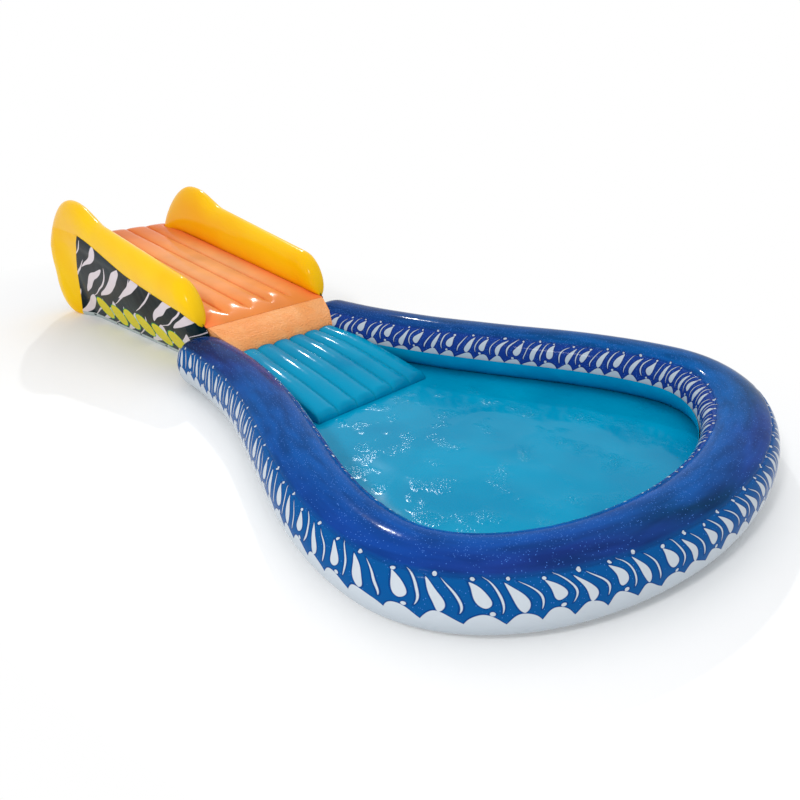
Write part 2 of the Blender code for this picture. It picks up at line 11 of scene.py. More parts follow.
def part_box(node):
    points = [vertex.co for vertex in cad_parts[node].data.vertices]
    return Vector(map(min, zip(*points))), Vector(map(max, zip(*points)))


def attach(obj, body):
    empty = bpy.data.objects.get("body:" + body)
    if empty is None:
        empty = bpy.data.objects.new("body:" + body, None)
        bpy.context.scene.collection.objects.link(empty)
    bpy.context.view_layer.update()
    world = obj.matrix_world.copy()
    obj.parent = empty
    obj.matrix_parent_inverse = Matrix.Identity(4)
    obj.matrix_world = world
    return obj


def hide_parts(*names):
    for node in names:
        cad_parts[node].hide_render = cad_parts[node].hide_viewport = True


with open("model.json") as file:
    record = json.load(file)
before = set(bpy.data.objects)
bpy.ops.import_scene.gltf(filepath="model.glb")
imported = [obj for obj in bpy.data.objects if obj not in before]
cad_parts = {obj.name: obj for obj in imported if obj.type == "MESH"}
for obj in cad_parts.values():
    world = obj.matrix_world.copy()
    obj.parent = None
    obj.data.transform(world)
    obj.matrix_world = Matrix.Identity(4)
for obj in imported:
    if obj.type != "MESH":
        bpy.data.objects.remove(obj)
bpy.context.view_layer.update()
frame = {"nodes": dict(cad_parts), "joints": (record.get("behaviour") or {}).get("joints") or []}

# Camera
CAMERA_PLACE = Vector((3.157, -2.227, 1.454))    # from the bed's foot, on the ground's level
CAMERA_TURN = math.radians(-43.68)               # from +Y towards +X
CAMERA_DOWN = math.radians(24.44)
CAMERA_ROLL = math.radians(-0.47)
CAMERA_LENS = 31.03                              # millimetres, on a 36 mm wide sensor

# Films and fits
SHEET = 0.001
GAP = 0.0003
SEAT = SHEET + GAP       # what stands on the floor film starts here
SHARP = math.radians(50)    # a sheet's edges bend more than this

# Pool wall
WALL_WIDTH = 0.292
WALL_HEIGHT = 0.262
WALL_POWER = 2.3         # 2 is an ellipse, more is squarer
WALL_FOOT = 0.004        # how far the tube is pressed flat
NECK_WIDTH = 0.873       # between the middles of the tube, at the slide
POOL_WIDTH = 2.04        # and at the widest place
POOL_REACH = 1.926
POOL_END = 0.597
NECK_START = 0.83
NECK_SKEW = 1.765
TUBE_LAP = 0.09
TUBE_DOME = 0.14
FLOOR_RIM = 0.05
FLOOR_NECK = 0.63        # the floor film's width under the pad
FLOOR_FLARE = 0.32       # how much it widens in front of the pad
LINER_HEIGHT = 0.110
SEAM_DOWN = 0.112        # from the crown round to the weld on each shoulder
WELD_DRAW = 0.0035       # how deep and how wide the welds draw the film in
WALL_PUCKER = 0.0032
WALL_DENT = 0.0022
LINER_STAND = 0.004      # its stand off the tube
LINER_FOLD = 0.003
FLOOR_FOLD = 0.003

# Slide
BED_WIDTH = 0.75
BED_CHANNELS = 5
BED_LENGTH = 1.78
BED_FOOT = 0.293
BED_HEAD = 0.525
BED_CROWN = 0.030
BED_MARGIN = 0.030       # from the bed's lanes to the bolsters' seams
BED_DROP = 0.20          # last stretch of the bed, which slopes down to the seam at its foot
CHANNEL_END = 0.14       # from that seam up to the channels' round ends
SIDE_TUCK = 0.06
BOLSTER_THICKNESS = 0.14
BOLSTER_HEIGHT = 0.215
BOLSTER_GROW = 0.06
BOLSTER_POWER = 2.2
BOLSTER_SETBACK = 0.025
BOLSTER_SPLAY = 0.02
BOLSTER_TIP = 0.16
BOLSTER_DENT = 0.0025
EDGE_PUCKER = 0.0026     # beside its outer edge
SEAM_PUCKER = 0.004      # beside its seam on the bed
HORN_LENGTH = 0.38
HORN_HEIGHT = 0.32
HORN_RUN = 0.35
LEG_LEAN = 0.35
LEG_WIDTH = 0.175
LEG_TOE = 0.26
LEG_ROUND = 0.20         # length over which its back edge turns in below the bed
LEG_CLEAR = GAP * 4      # from a sheet's edge to a leg's skin
FOOT_PRESS = 0.010
PAD_DEPTH = 0.170
PAD_WIDTH = 0.80         # at its rear edge, before it is fitted between the panels
PAD_NOSE_WIDTH = 0.69    # at its front edge
PAD_FRONT = 0.185
PAD_SOFT = 0.016         # how far its sides draw in
PAD_BULGE = 0.012        # of its slope
PAD_CREASE = 0.0016
PAD_DENT = 0.0020
RAMP_LENGTH = 0.69
RAMP_TOP_WIDTH = 0.70
RAMP_FOOT_WIDTH = 0.76
RAMP_RIBS = 6
RAMP_CROWN = 0.018
RAMP_TOE = 0.030
RAMP_STEP = 0.004
RAMP_BULGE = 0.014       # of its length
RAMP_CLEAR = 0.003       # beside it, to the wall's turquoise strip

# Side films
PRINT_CORNER = -1.27     # the print's upper rear corner
PANEL_CORNER = 0.63      # and its height
FILM_LIFT = 0.0013       # the films' outer faces over the bolster's skin
LEG_COVER = LEG_WIDTH * 0.45    # how far they reach back over the leg
LEG_WRAP = 0.26          # length over which they leave its skin
PANEL_SWELL = 0.022
PANEL_PUCKER = 0.0022
BACK_SWELL = 0.018
BACK_VALVE = 0.30        # height of its valve, round which it lies flat
BACK_SHIFT = 3.0         # keeps its print clear of the ribbon and the yellow
LEG_PRINT = 1.72         # the print's rear edge, behind the slide's foot on the ground
LEG_PRINT_LEAN = 0.74    # metres forward for each metre up
RIBBON_WAVE = 0.66
RIBBON_BEAD = 0.19       # from one bead of the ribbon to the next
BEAD_WIDTH = 0.172
BEAD_HEIGHT = 0.145
RIBBON_HEIGHT = 0.125
RIBBON_MIDDLE = 0.855
RIBBON_LENGTH = 1.14
YELLOWS = ["#FCC008", "#FEC80E", "#FECD16"]

# Valves and drain
FLANGE_RADIUS = 0.019
STEM_DEPTH = 0.009
POCKET_RADIUS = 0.0115
POCKET_DEPTH = 0.026
DRAIN = (1.50, -0.70)
DRAIN_BORE = 0.016
DRAIN_FLAT = 0.045       # the floor film lies flat round the drain's flange

FOOT = Vector((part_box("bed_sheet")[1].x, 0, 0))  # the seam at the foot of the slide's bed


# Mesh helpers


def film(name, rows, columns, place, measure=None, side=0):
    """A film from a grid. place(row, column) is a point; measure(row, column, point) is its metres
    of film, or its place from above where none is given. A sheet grows thick along its normals
    (side 1) or against them (side -1). Side 0 is a pillow, which is closed."""
    cloth = bmesh.new()
    chart = cloth.loops.layers.uv.new("film")
    bmesh.ops.create_grid(cloth, x_segments=rows, y_segments=columns, size=0.5)
    for vert in cloth.verts:
        row, column = round((vert.co.x + 0.5) * rows), round((vert.co.y + 0.5) * columns)
        point = place(row, column)
        metres = measure(row, column, point) if measure else point.xy
        for loop in vert.link_loops:
            loop[chart].uv = metres
        vert.co = point + FOOT
    if not side:
        bmesh.ops.remove_doubles(cloth, verts=cloth.verts, dist=1e-5)
        rim = [edge for edge in cloth.edges if edge.is_boundary]
        caps = bmesh.ops.holes_fill(cloth, edges=rim, sides=0)["faces"]
        bmesh.ops.triangulate(cloth, faces=caps)
        bmesh.ops.recalc_face_normals(cloth, faces=cloth.faces)
    piece = new_piece(name, cloth)
    if side:
        solid = piece.modifiers.new("thickness", "SOLIDIFY")
        solid.thickness = SHEET
        solid.offset = side
        settle(piece)
        piece.data.set_sharp_from_angle(angle=SHARP)
    return piece


def new_piece(name, cloth):
    mesh = bpy.data.meshes.new(name)
    cloth.to_mesh(mesh)
    cloth.free()
    mesh.shade_smooth()
    piece = bpy.data.objects.new(name, mesh)
    bpy.context.scene.collection.objects.link(piece)
    return piece


def settle(piece):
    """Makes the modifiers' result the piece's own mesh."""
    graph = bpy.context.evaluated_depsgraph_get()
    graph.update()
    mesh = bpy.data.meshes.new_from_object(piece.evaluated_get(graph))
    piece.modifiers.clear()
    piece.data = mesh


def cut(piece, *tools):
    """Takes the tools' shapes out of a piece."""
    for tool in tools:
        modifier = piece.modifiers.new(tool.name, "BOOLEAN")
        modifier.object = tool
        modifier.operation = "DIFFERENCE"
    settle(piece)
    for tool in tools:
        bpy.data.objects.remove(tool)


def rod(name, radius, low, high, matrix):
    """A cylinder between two heights on a matrix's own Z axis."""
    shape = bmesh.new()
    middle = matrix @ Matrix.Translation((0, 0, (low + high) / 2))
    bmesh.ops.create_cone(shape, cap_ends=True, segments=48, radius1=radius, radius2=radius,
                          depth=high - low, matrix=middle)
    return new_piece(name, shape)


def rounded(value, power):
    return math.copysign(abs(value) ** (2 / power), value)


def ease(share):
    share = min(max(share, 0.0), 1.0)
    return share * share * (3 - 2 * share)


def end_fade(distance, length):
    share = min(max(distance / length, 0.0), 1.0)
    return math.sqrt(1 - (1 - share) ** 2)


def ripple(x, y, z=0.0):
    """Smooth random heights between about -1 and 1, a unit apart."""
    return noise.noise(Vector((x, y, z)))


def lane_place(column, per_lane):
    """Lanes from the edge, with the columns closer together beside each weld."""
    lane, part = divmod(column, per_lane)
    side = 2 * part / per_lane - 1
    within = math.copysign(1 - (1 - abs(side)) ** 1.5, side)
    return lane + (1 + within) / 2


def lane_arch(place, pucker, squareness=3.2):
    """Height of the film over one lane's welds, from 0 to 1, and how it puckers beside them."""
    within = abs(2 * (place % 1) - 1)
    arch = (1 - within ** squareness) ** (0.3 + 0.8 / squareness)
    return arch + 0.5 * pucker * (1 - within) * math.exp(-(1 - within) / 0.22)


# Pool wall


def side_width(x):
    share = (x + NECK_START) / (POOL_REACH + NECK_START)
    swell = 0.5 * (1 - math.cos(math.pi * max(share, 0) ** NECK_SKEW))
    return NECK_WIDTH / 2 + (POOL_WIDTH - NECK_WIDTH) / 2 * swell


def half_line(dome, side, end):
    """The middle of the tube from its left end to the far tip: (x, y, share of full section)."""
    line = []
    dome_end = TUBE_DOME - TUBE_LAP
    for step in range(dome, 0, -1):
        angle = math.radians(89) * step / dome
        x = dome_end - TUBE_DOME * math.sin(angle)
        line.append((x, side_width(x), math.cos(angle) ** 0.8))
    for step in range(side):
        x = dome_end + (POOL_REACH - dome_end) * step / side
        line.append((x, side_width(x), 1.0))
    for step in range(end):
        angle = math.pi / 2 * step / end
        line.append((POOL_REACH + POOL_END * math.sin(angle), POOL_WIDTH / 2 * math.cos(angle), 1.0))
    return line


DOME_ROWS = 14           # stations of the line in each end's dome
HALF = half_line(DOME_ROWS, 170, 90)
LINE = HALF + [(POOL_REACH + POOL_END, 0.0, 1.0)] + [(x, -y, share) for x, y, share in HALF[::-1]]


def level_out(index):
    """The level direction out of the pool at one place on the tube."""
    before = LINE[max(index - 1, 0)]
    after = LINE[min(index + 1, len(LINE) - 1)]
    return Vector((before[1] - after[1], after[0] - before[0], 0)).normalized()


def run_lengths(points):
    """Metres run from the first point to each, over their first two coordinates."""
    total = 0.0
    lengths = [0.0]
    for one, two in zip(points, points[1:]):
        total += math.dist(one[:2], two[:2])
        lengths.append(total)
    return lengths


ALONG = run_lengths(LINE)
OUT = [level_out(index) for index in range(len(LINE))]
HALF_HEIGHT = (WALL_HEIGHT - SEAT + WALL_FOOT) / 2
MIDDLE_HEIGHT = WALL_HEIGHT - HALF_HEIGHT


def section_table():
    """(metres of film from the crown, outward, upward), from the foot inside to the foot outside."""
    points = []
    for degrees in range(-180, 181):
        angle = math.radians(90 - degrees)
        points.append((WALL_WIDTH / 2 * rounded(math.cos(angle), WALL_POWER),
                       HALF_HEIGHT * rounded(math.sin(angle), WALL_POWER)))
    lengths = run_lengths(points)
    crown = lengths[180]
    return [(length - crown, out, up) for length, (out, up) in zip(lengths, points)]


SECTION = section_table()
HALF_GIRTH = SECTION[-1][0]
GIRTHS = [row[0] for row in SECTION]


def section_at(round_film):
    """Outward and upward place, and the direction out of the skin, at metres from the crown."""
    index = min(max(bisect_right(GIRTHS, round_film), 1), len(SECTION) - 1)
    low, high = SECTION[index - 1], SECTION[index]
    share = (round_film - low[0]) / (high[0] - low[0])
    out = low[1] + (high[1] - low[1]) * share
    up = low[2] + (high[2] - low[2]) * share
    skin = Vector((high[2] - low[2], low[1] - high[1])).normalized()
    return out, up, -skin.x, -skin.y


def girth_steps():
    """Places round the section, closer together beside the two shoulder welds."""
    count = 92
    beside = (-0.007, -0.004, -0.0018, 0, 0.0018, 0.004, 0.007)
    steps = [HALF_GIRTH * (2 * k / count - 1) for k in range(count + 1)]
    for weld in (-SEAM_DOWN, SEAM_DOWN):
        steps = [s for s in steps if abs(s - weld) > 0.008] + [weld + offset for offset in beside]
    return sorted(steps)


def wall_relief(along, around):
    """How far the film stands off its even section: the welds draw it in and pucker it."""
    from_weld = abs(abs(around) - SEAM_DOWN)
    groove = -WELD_DRAW * math.exp(-(from_weld / WELD_DRAW) ** 2)
    side = 3.0 if around < 0 else 0.0
    pull = 0.5 + 0.5 * ripple(along / 0.3, side + 7)
    pucker = WALL_PUCKER * pull * math.exp(-from_weld / 0.03) * ripple(along / 0.024, side, around / 0.09)
    soft = WALL_DENT * ripple(along / 0.34, around / 0.22, 5.0)
    return groove + pucker + soft


def wall_spot(index, out, up, skin_out, skin_up, relief):
    x, y, share = LINE[index]
    point = Vector((x, y, 0)) + OUT[index] * (out * share + skin_out * relief * share)
    point.z = max(MIDDLE_HEIGHT + up * share + skin_up * relief * share, SEAT)
    return point


def make_wall():
    steps = girth_steps()
    skin = [section_at(step) for step in steps]

    def place(row, column):
        return wall_spot(row, *skin[column], wall_relief(ALONG[row], steps[column]))

    return film("wall_tube", len(LINE) - 1, len(steps) - 1, place,
                lambda row, column, point: (ALONG[row], steps[column]))


def inner_face(x, z):
    """Half the free width between the tube's two sides at a place and height."""
    share = 1.0
    dome_end = TUBE_DOME - TUBE_LAP
    if x < dome_end:
        share = max(1 - ((dome_end - x) / TUBE_DOME) ** 2, 0) ** 0.4
    rise = min(abs(z - MIDDLE_HEIGHT) / (HALF_HEIGHT * max(share, 0.01)), 1)
    return side_width(x) - WALL_WIDTH / 2 * share * (1 - rise ** WALL_POWER) ** (1 / WALL_POWER)


def make_liner():
    """The turquoise strip on the inside of the wall, from the floor up."""
    top = next(s for s, out, up in SECTION if MIDDLE_HEIGHT + up > LINER_HEIGHT)
    low = next(s for s, out, up in SECTION if MIDDLE_HEIGHT + up > SEAT + GAP)
    columns = 20
    rows = len(LINE) - 1 - 2 * DOME_ROWS
    steps = [low + (top - low) * k / columns for k in range(columns + 1)]
    skin = [section_at(step) for step in steps]
    runs = ALONG[DOME_ROWS:]

    def place(row, column):
        fold = ripple(runs[row] / 0.06, column / 9, 2.0) + 0.5 * ripple(runs[row] / 0.025, column / 5)
        off = GAP + SHEET + LINER_STAND
        off += LINER_FOLD * max(fold, 0) * math.sin(math.pi * column / columns) ** 0.5
        point = wall_spot(DOME_ROWS + row, *skin[column], off)
        point.z = max(point.z, SEAT + GAP)
        return point

    return film("liner_strip", rows, columns, place,
                lambda row, column, point: (runs[row], steps[column]), side=-1)


def make_floor():
    """The pool's bottom film, with the folds that it keeps from being packed."""
    first, columns = 4, 72

    def place(row, column):
        x, y, full = LINE[first + row]
        point = Vector((x, y, 0)) + OUT[first + row] * FLOOR_RIM * full
        point.x = max(point.x, -TUBE_LAP)
        if point.x < 0.1:
            point.y = min(point.y, (FLOOR_NECK + FLOOR_FLARE * ease((point.x + 0.02) / 0.10)) / 2)
        share = 1 - 2 * column / columns
        point.y *= share
        open_floor = ease((0.9 - abs(share)) / 0.5) * ease((point.x - 0.95) / 0.4)
        ends = ease((POOL_REACH + POOL_END - 0.15 - point.x) / 0.3)
        from_drain = math.dist(point.xy, DRAIN)
        flat = ease((from_drain - DRAIN_FLAT) / 0.08)
        folds = 1 - abs(ripple(point.x / 0.33, point.y / 0.21, 9.0)) * 3
        point.z = SHEET + FLOOR_FOLD * max(folds, 0) ** 2 * open_floor * ends * flat
        return point

    floor = film("floor_film", len(HALF) - first - 1, columns, place, side=-1)
    middle = Matrix.Translation(FOOT + Vector((*DRAIN, 0)))
    cut(floor, rod("drain_hole", DRAIN_BORE, -0.01, 0.02, middle))
    return floor


# Slide


def bed_height(x):
    return BED_FOOT + (BED_HEAD - BED_FOOT) * -x / BED_LENGTH


def tuck(height):
    return SIDE_TUCK * (1 - height / BED_HEAD)


def leg_front(height):
    return -BED_LENGTH + LEG_LEAN * height


def seam_height(x):
    return bed_height(x) + SEAM_LIFT


SEAM_LIFT = GAP * 2
FOOT_Y = BED_WIDTH / 2 - SIDE_TUCK
SEAM_Y = BED_WIDTH / 2 + BED_MARGIN
EDGE_Y = SEAM_Y + BOLSTER_SPLAY
SLOPE = (BED_HEAD - BED_FOOT) / BED_LENGTH
CORNER = (LEG_LEAN * (BED_FOOT + SEAM_LIFT) - BED_LENGTH) / (1 + LEG_LEAN * SLOPE)
CORNER_LEVEL = seam_height(CORNER)
PEAK = HORN_LENGTH - BED_LENGTH


def ridge_height(x, along):
    """Height of a bolster's outer edge over the bed, between its tip and the horn's top."""
    high = seam_height(x) + (BOLSTER_HEIGHT - BOLSTER_GROW * x) * end_fade(along, BOLSTER_TIP)
    climb = ease((PEAK + HORN_RUN - x) / HORN_RUN)
    return high + (CORNER_LEVEL + HORN_HEIGHT - high) * climb


def bolster_stations():
    """Inner seam, outer edge and share of full thickness, from the tip up and over to the foot."""
    stations = []
    rounds = [BOLSTER_TIP * (1 - math.cos(math.radians(6 + 84 * k / 24))) for k in range(24)]
    start = BOLSTER_SETBACK + BOLSTER_TIP
    rounds += [BOLSTER_TIP + (-PEAK - start) * k / 70 for k in range(70)]
    for along in rounds:
        x = -BOLSTER_SETBACK - along
        edge = Vector((x, EDGE_Y, ridge_height(x, along)))
        stations.append((Vector((x, SEAM_Y, seam_height(x))), edge, end_fade(along, BOLSTER_TIP) ** 0.8))
    for k in range(41):
        x = PEAK + (CORNER - PEAK) * k / 40
        angle = math.pi / 2 * k / 40
        high = CORNER_LEVEL + HORN_HEIGHT * math.cos(angle)
        rear = leg_front(high) - LEG_WIDTH
        edge = Vector((PEAK + (rear - PEAK) * math.sin(angle), EDGE_Y, high))
        stations.append((Vector((x, SEAM_Y, seam_height(x))), edge, 1.0))
    heights = [CORNER_LEVEL + (LEG_TOE - CORNER_LEVEL) * k / 12 for k in range(1, 12)]
    heights += [LEG_TOE * (1 - math.sin(math.pi / 2 * k / 24)) for k in range(25)]
    for height in heights:
        round_off = end_fade(height + FOOT_PRESS, LEG_TOE)
        front = Vector((leg_front(height), SEAM_Y - tuck(height), height))
        back = front + Vector((-LEG_WIDTH, BOLSTER_SPLAY, 0)) * round_off
        back.y += tuck(height) * (1 - ease((CORNER_LEVEL - height) / LEG_ROUND))
        stations.append((front, back, round_off ** 0.8))
    return stations


def make_bolster(name, side):
    stations = bolster_stations()
    columns = 56
    spine = [tuple((seam + edge) / 2)[::2] for seam, edge, share in stations]
    lengths = run_lengths(spine)

    def place(row, column):
        seam, edge, share = stations[row]
        reach = (edge - seam) / 2
        across = Vector((0, 1, 0)) - reach * (reach.y / reach.length_squared)
        across.normalize()
        angle = math.tau * column / columns - math.pi / 2
        up, out = rounded(math.sin(angle), BOLSTER_POWER), rounded(math.cos(angle), BOLSTER_POWER)
        from_edge, from_seam = (1 - up) * reach.length, (1 + up) * reach.length
        along = lengths[row]
        weld = EDGE_PUCKER * math.exp(-from_edge / 0.025) * ripple(along / 0.03, side * 3, out * 2)
        root = SEAM_PUCKER * math.exp(-from_seam / 0.04) * ripple(along / 0.045, side * 5, out * 2)
        soft = BOLSTER_DENT * ripple(along / 0.3, column / 11, side * 2.0)
        swell = BOLSTER_THICKNESS / 2 * share + (weld + root + soft) * share
        point = (seam + edge) / 2 + reach * up + across * swell * out
        point.y *= side
        point.z = max(point.z, 0.0)
        return point

    def measure(row, column, point):
        girth = 2 * (stations[row][1] - stations[row][0]).length + BOLSTER_THICKNESS
        return lengths[row], (column / columns - 0.5) * girth

    return film(name, len(stations) - 1, columns, place, measure)


def skin_finder(pillow, heading):
    """Where a ray from a place, along a heading, first meets a pillow's skin, or None."""
    spots = [vert.co for vert in pillow.data.vertices]
    tree = BVHTree.FromPolygons(spots, [face.vertices for face in pillow.data.polygons])
    return lambda x, y, z: tree.ray_cast(Vector((x + FOOT.x, y, z)), Vector(heading))[0]


def make_bed(*pillows):
    """The slide's top film: channels between weld lines, whose round ends slope to the foot. The
    outer channels swell up against the bolsters and follow them down to the seams."""
    rows, per_channel = 120, 14
    columns = BED_CHANNELS * per_channel
    leg_skin = skin_finder(pillows[0], (0, 1, 0))
    outer_seam = BED_WIDTH / 2 - BED_WIDTH / BED_CHANNELS
    roofs = [skin_finder(pillow, (0, 0, 1)) for pillow in pillows]

    def place(row, column):
        x = -BED_LENGTH * (1 - row / rows)
        base = bed_height(x)
        half = SEAM_Y + GAP
        leg = leg_skin(x, 0, base)
        if leg and x < CORNER + 0.02:
            half = min(half, leg.y - LEG_CLEAR)
        lanes = lane_place(column, per_channel)
        y = BED_WIDTH * (lanes / BED_CHANNELS - 0.5)
        if abs(y) > outer_seam:
            squeeze = (half - outer_seam) / (BED_WIDTH / 2 - outer_seam)
            y = math.copysign(outer_seam + (abs(y) - outer_seam) * squeeze, y)
        across = min(abs(2 * lanes / BED_CHANNELS - 1), 1)
        arch = lane_arch(lanes, ripple(x / 0.03, round(lanes) * 3.1)) if across < 1 else 0.0
        body = 0.94 * (1 - across ** 9) ** 0.5
        smooth = ease((x + CHANNEL_END) / 0.08)
        crown = BED_CROWN * (1 + 0.4 * x / BED_LENGTH)
        crown *= math.sin(math.pi / 2 * min(-x / BED_DROP, 1)) * end_fade(BED_LENGTH + x, 0.08)
        soft = 1 + 0.06 * ripple(x / 0.4, lanes / 1.5, 4.0)
        z = base + crown * soft * (arch + (body - arch) * smooth)
        for roof in roofs:
            skin = roof(x, y, base - 0.01)
            if skin and x > CORNER:
                z = max(min(z, skin.z - GAP), base)
        return Vector((x, y, z))

    return film("slide_bed", rows, columns, place, side=-1)


PANEL_TOP = [(-1.75, 0.650), (-1.257, 0.630), (-1.14, 0.606), (-1.032, 0.574), (-0.86, 0.520),
             (-0.688, 0.470), (-0.54, 0.436), (-0.395, 0.409), (-0.126, 0.366), (-0.035, 0.320),
             (-0.012, 0.296), (0.0, 0.2905)]


def panel_top(x):
    """Height of the side film's upper weld, on the bolster's outer skin."""
    for (one, low), (two, high) in zip(PANEL_TOP, PANEL_TOP[1:]):
        if x <= two:
            return low + (high - low) * (x - one) / (two - one)
    return PANEL_TOP[-1][1]


def make_side_panel(name, side, pillow):
    """The film that closes one side: from the leg's outer skin to the tube's end, its upper edge
    welded along the bolster. It is measured from the slide's foot and from the ground."""
    rows, columns = 130, 44
    find = skin_finder(pillow, (0, -side, 0))

    def skin(x, z):
        point = find(x, side, z)
        return abs(point.y) if point else 0.0

    def place(row, column):
        rise = column / columns
        height = SEAT + (PANEL_CORNER - SEAT) * rise
        rear = leg_front(height) - LEG_COVER * end_fade(height + FOOT_PRESS, LEG_TOE)
        front = -TUBE_LAP * (1 - ease((rise - 0.35) / 0.3)) - GAP
        x = rear + (front - rear) * row / rows
        top = panel_top(x)
        z = SEAT + (top - SEAT) * rise
        from_rear = x - rear
        ends = ease(from_rear / 0.3) * ease((1 - row / rows) / 0.10)
        head = max(skin(x, top - 0.004), SEAM_Y + FILM_LIFT)
        y = FOOT_Y + (head - FOOT_Y) * rise + PANEL_SWELL * math.sin(math.pi * rise) * ends
        y += PANEL_PUCKER * ripple(x / 0.05, rise * 2, side) * math.exp(-(1 - rise) / 0.15) * ends
        leg = skin(x - from_rear, z)
        y += (leg - y) * (1 - ease(from_rear / LEG_WRAP)) * (leg > 0)
        hidden = ease((rise - 0.94) / 0.06) * ease((PRINT_CORNER - x) / 0.05)
        hidden = max(hidden, 1 - from_rear / 0.02)
        y = max(y, skin(x, z)) + FILM_LIFT - (FILM_LIFT + SHEET) * hidden
        return Vector((x, side * y, z))

    return film(name, rows, columns, place, lambda row, column, point: (-point.x, point.z), -side)


def make_back_panel(pillow):
    """The sheet between the two rear legs, flat round its valve and swollen beside it."""
    rows, columns = 60, 40
    top = bed_height(-BED_LENGTH) - SHEET - GAP
    leg_skin = skin_finder(pillow, (0, 1, 0))

    def place(row, column):
        z = SEAT + (top - SEAT) * column / columns
        leg = leg_skin(-BED_LENGTH, 0, z)
        half = SEAM_Y - tuck(z)
        if leg:
            half = min(half, leg.y - LEG_CLEAR)
        y = half * (2 * row / rows - 1)
        swell = math.sin(math.pi * row / rows) * math.sin(math.pi * column / columns)
        flat = 1 - math.exp(-(math.dist((y, z), (0, BACK_VALVE)) / 0.10) ** 4)
        return Vector((-BED_LENGTH - BACK_SWELL * swell * flat, y, z))

    return film("back_film", rows, columns, place,
                lambda row, column, point: (point.y - BACK_SHIFT, point.z), side=1)


def make_base():
    """The sheet that the slide stands on."""
    rows, columns = 24, 10

    def place(row, column):
        x = -BED_LENGTH + (BED_LENGTH - TUBE_LAP - GAP) * row / rows
        return Vector((x, FOOT_Y * (2 * column / columns - 1), SHEET))

    return film("slide_base", rows, columns, place, side=-1)


def keep_between(point, free):
    point.y = min(max(point.y, -free), free)


def make_pad():
    """The wet cushion in the pool's opening, pressed between the tube's two ends."""
    top = bed_height(0) - SHEET - GAP
    rear = -TUBE_LAP + 0.002
    rows, curve = 110, 26
    ring = [(rear, SEAT + (top - SEAT) * k / 8) for k in range(8)]
    ring += [(rear * (1 - k / 6), top) for k in range(6)]
    for step in range(curve + 1):
        share = step / curve
        bulge = PAD_BULGE * math.sin(math.pi * share)
        drop = 0.74 * share + 0.26 * share ** 7
        ring.append((PAD_DEPTH * share, top + (PAD_FRONT - top) * drop + bulge))
    ring += [(PAD_DEPTH, PAD_FRONT + (SEAT - PAD_FRONT) * k / 8) for k in range(1, 9)]
    ring += [(PAD_DEPTH + (rear - PAD_DEPTH) * k / 6, SEAT) for k in range(1, 7)]
    lengths = run_lengths(ring)

    def place(row, column):
        x, z = ring[column]
        share = math.sin(math.pi * (row / rows - 0.5))
        lift = (z - SEAT) / (top - SEAT)
        draw = PAD_SOFT * share ** 4 * ease(x / 0.09)
        front = x - draw * lift * max(x, 0) / PAD_DEPTH
        taper = max(front, 0) / PAD_DEPTH
        y = (PAD_WIDTH + (PAD_NOSE_WIDTH - PAD_WIDTH) * taper) / 2 * share
        crease = PAD_CREASE * ripple(lengths[column] / 0.014, y / 0.06, 1.0)
        crease += PAD_DENT * ripple(lengths[column] / 0.035, y / 0.12, 6.0)
        crease *= ease((x + 0.01) / 0.02) * lift
        point = Vector((front + crease * max(x, 0) / PAD_DEPTH, y, z - draw * lift + crease * (x > 0)))
        if point.z < WALL_HEIGHT + SEAT:
            keep_between(point, inner_face(point.x, point.z) - SEAT - GAP)
        if point.x < GAP:
            keep_between(point, FOOT_Y + (SEAM_Y - FOOT_Y) * point.z / BED_FOOT - SHEET - GAP * 6)
        return point

    def measure(row, column, point):
        return lengths[column], PAD_WIDTH / 2 * math.sin(math.pi * (row / rows - 0.5))

    return film("pad_cushion", rows, len(ring) - 1, place, measure)


def make_ramp():
    """The ribbed wedge: air channels that run down from the pad and close round at the foot."""
    per_rib = 14
    count = RAMP_RIBS * per_rib
    end = PAD_DEPTH + RAMP_LENGTH
    places = [PAD_DEPTH + GAP + (RAMP_LENGTH - RAMP_TOE - GAP) * k / 60 for k in range(61)]
    places += [end - RAMP_TOE * (1 - math.sin(math.pi / 2 * k / 12)) for k in range(1, 13)]
    columns = count + 12

    def ring_spot(row, column):
        x = places[row]
        down = (x - PAD_DEPTH) / RAMP_LENGTH
        flared = (RAMP_TOP_WIDTH + (RAMP_FOOT_WIDTH - RAMP_TOP_WIDTH) * down) / 2
        half = min(flared, side_width(x) - WALL_WIDTH / 2 - SHEET - RAMP_CLEAR)
        round_off = 0.15 + 0.85 * end_fade(end - x, RAMP_TOE)
        seam = PAD_FRONT - RAMP_CROWN - RAMP_STEP
        seam += (RAMP_TOE - seam) * down + RAMP_BULGE * math.sin(math.pi * down)
        base = SEAT + (seam - SEAT) * round_off
        if column <= count:
            lanes = lane_place(column, per_rib)
            arch = 0.0
            if 0 < column < count:
                arch = lane_arch(lanes, 1.2 * ripple(x / 0.035, round(lanes) * 2.7), 2.2)
            crown = RAMP_CROWN * round_off * (0.86 + 0.14 * ease(4 * down))
            return Vector((x, half * (2 * lanes / RAMP_RIBS - 1), base + crown * arch))
        past = column - count
        if past <= 4:
            return Vector((x, half, base + (SEAT - base) * past / 4))
        if past <= 8:
            return Vector((x, half * (1 - (past - 4) / 2), SEAT))
        return Vector((x, -half, SEAT + (base - SEAT) * (past - 8) / 4))

    def place(row, column):
        point = ring_spot(row, column)
        keep_between(point, inner_face(point.x, point.z) - SEAT - GAP)
        return point

    def measure(row, column, point):
        lanes = lane_place(column, per_rib) if column <= count else RAMP_RIBS + (column - count) / 4
        return point.x, (lanes - RAMP_RIBS / 2) * RAMP_TOP_WIDTH / RAMP_RIBS

    return film("ramp_ribs", len(places) - 1, columns, place, measure)


# Valves


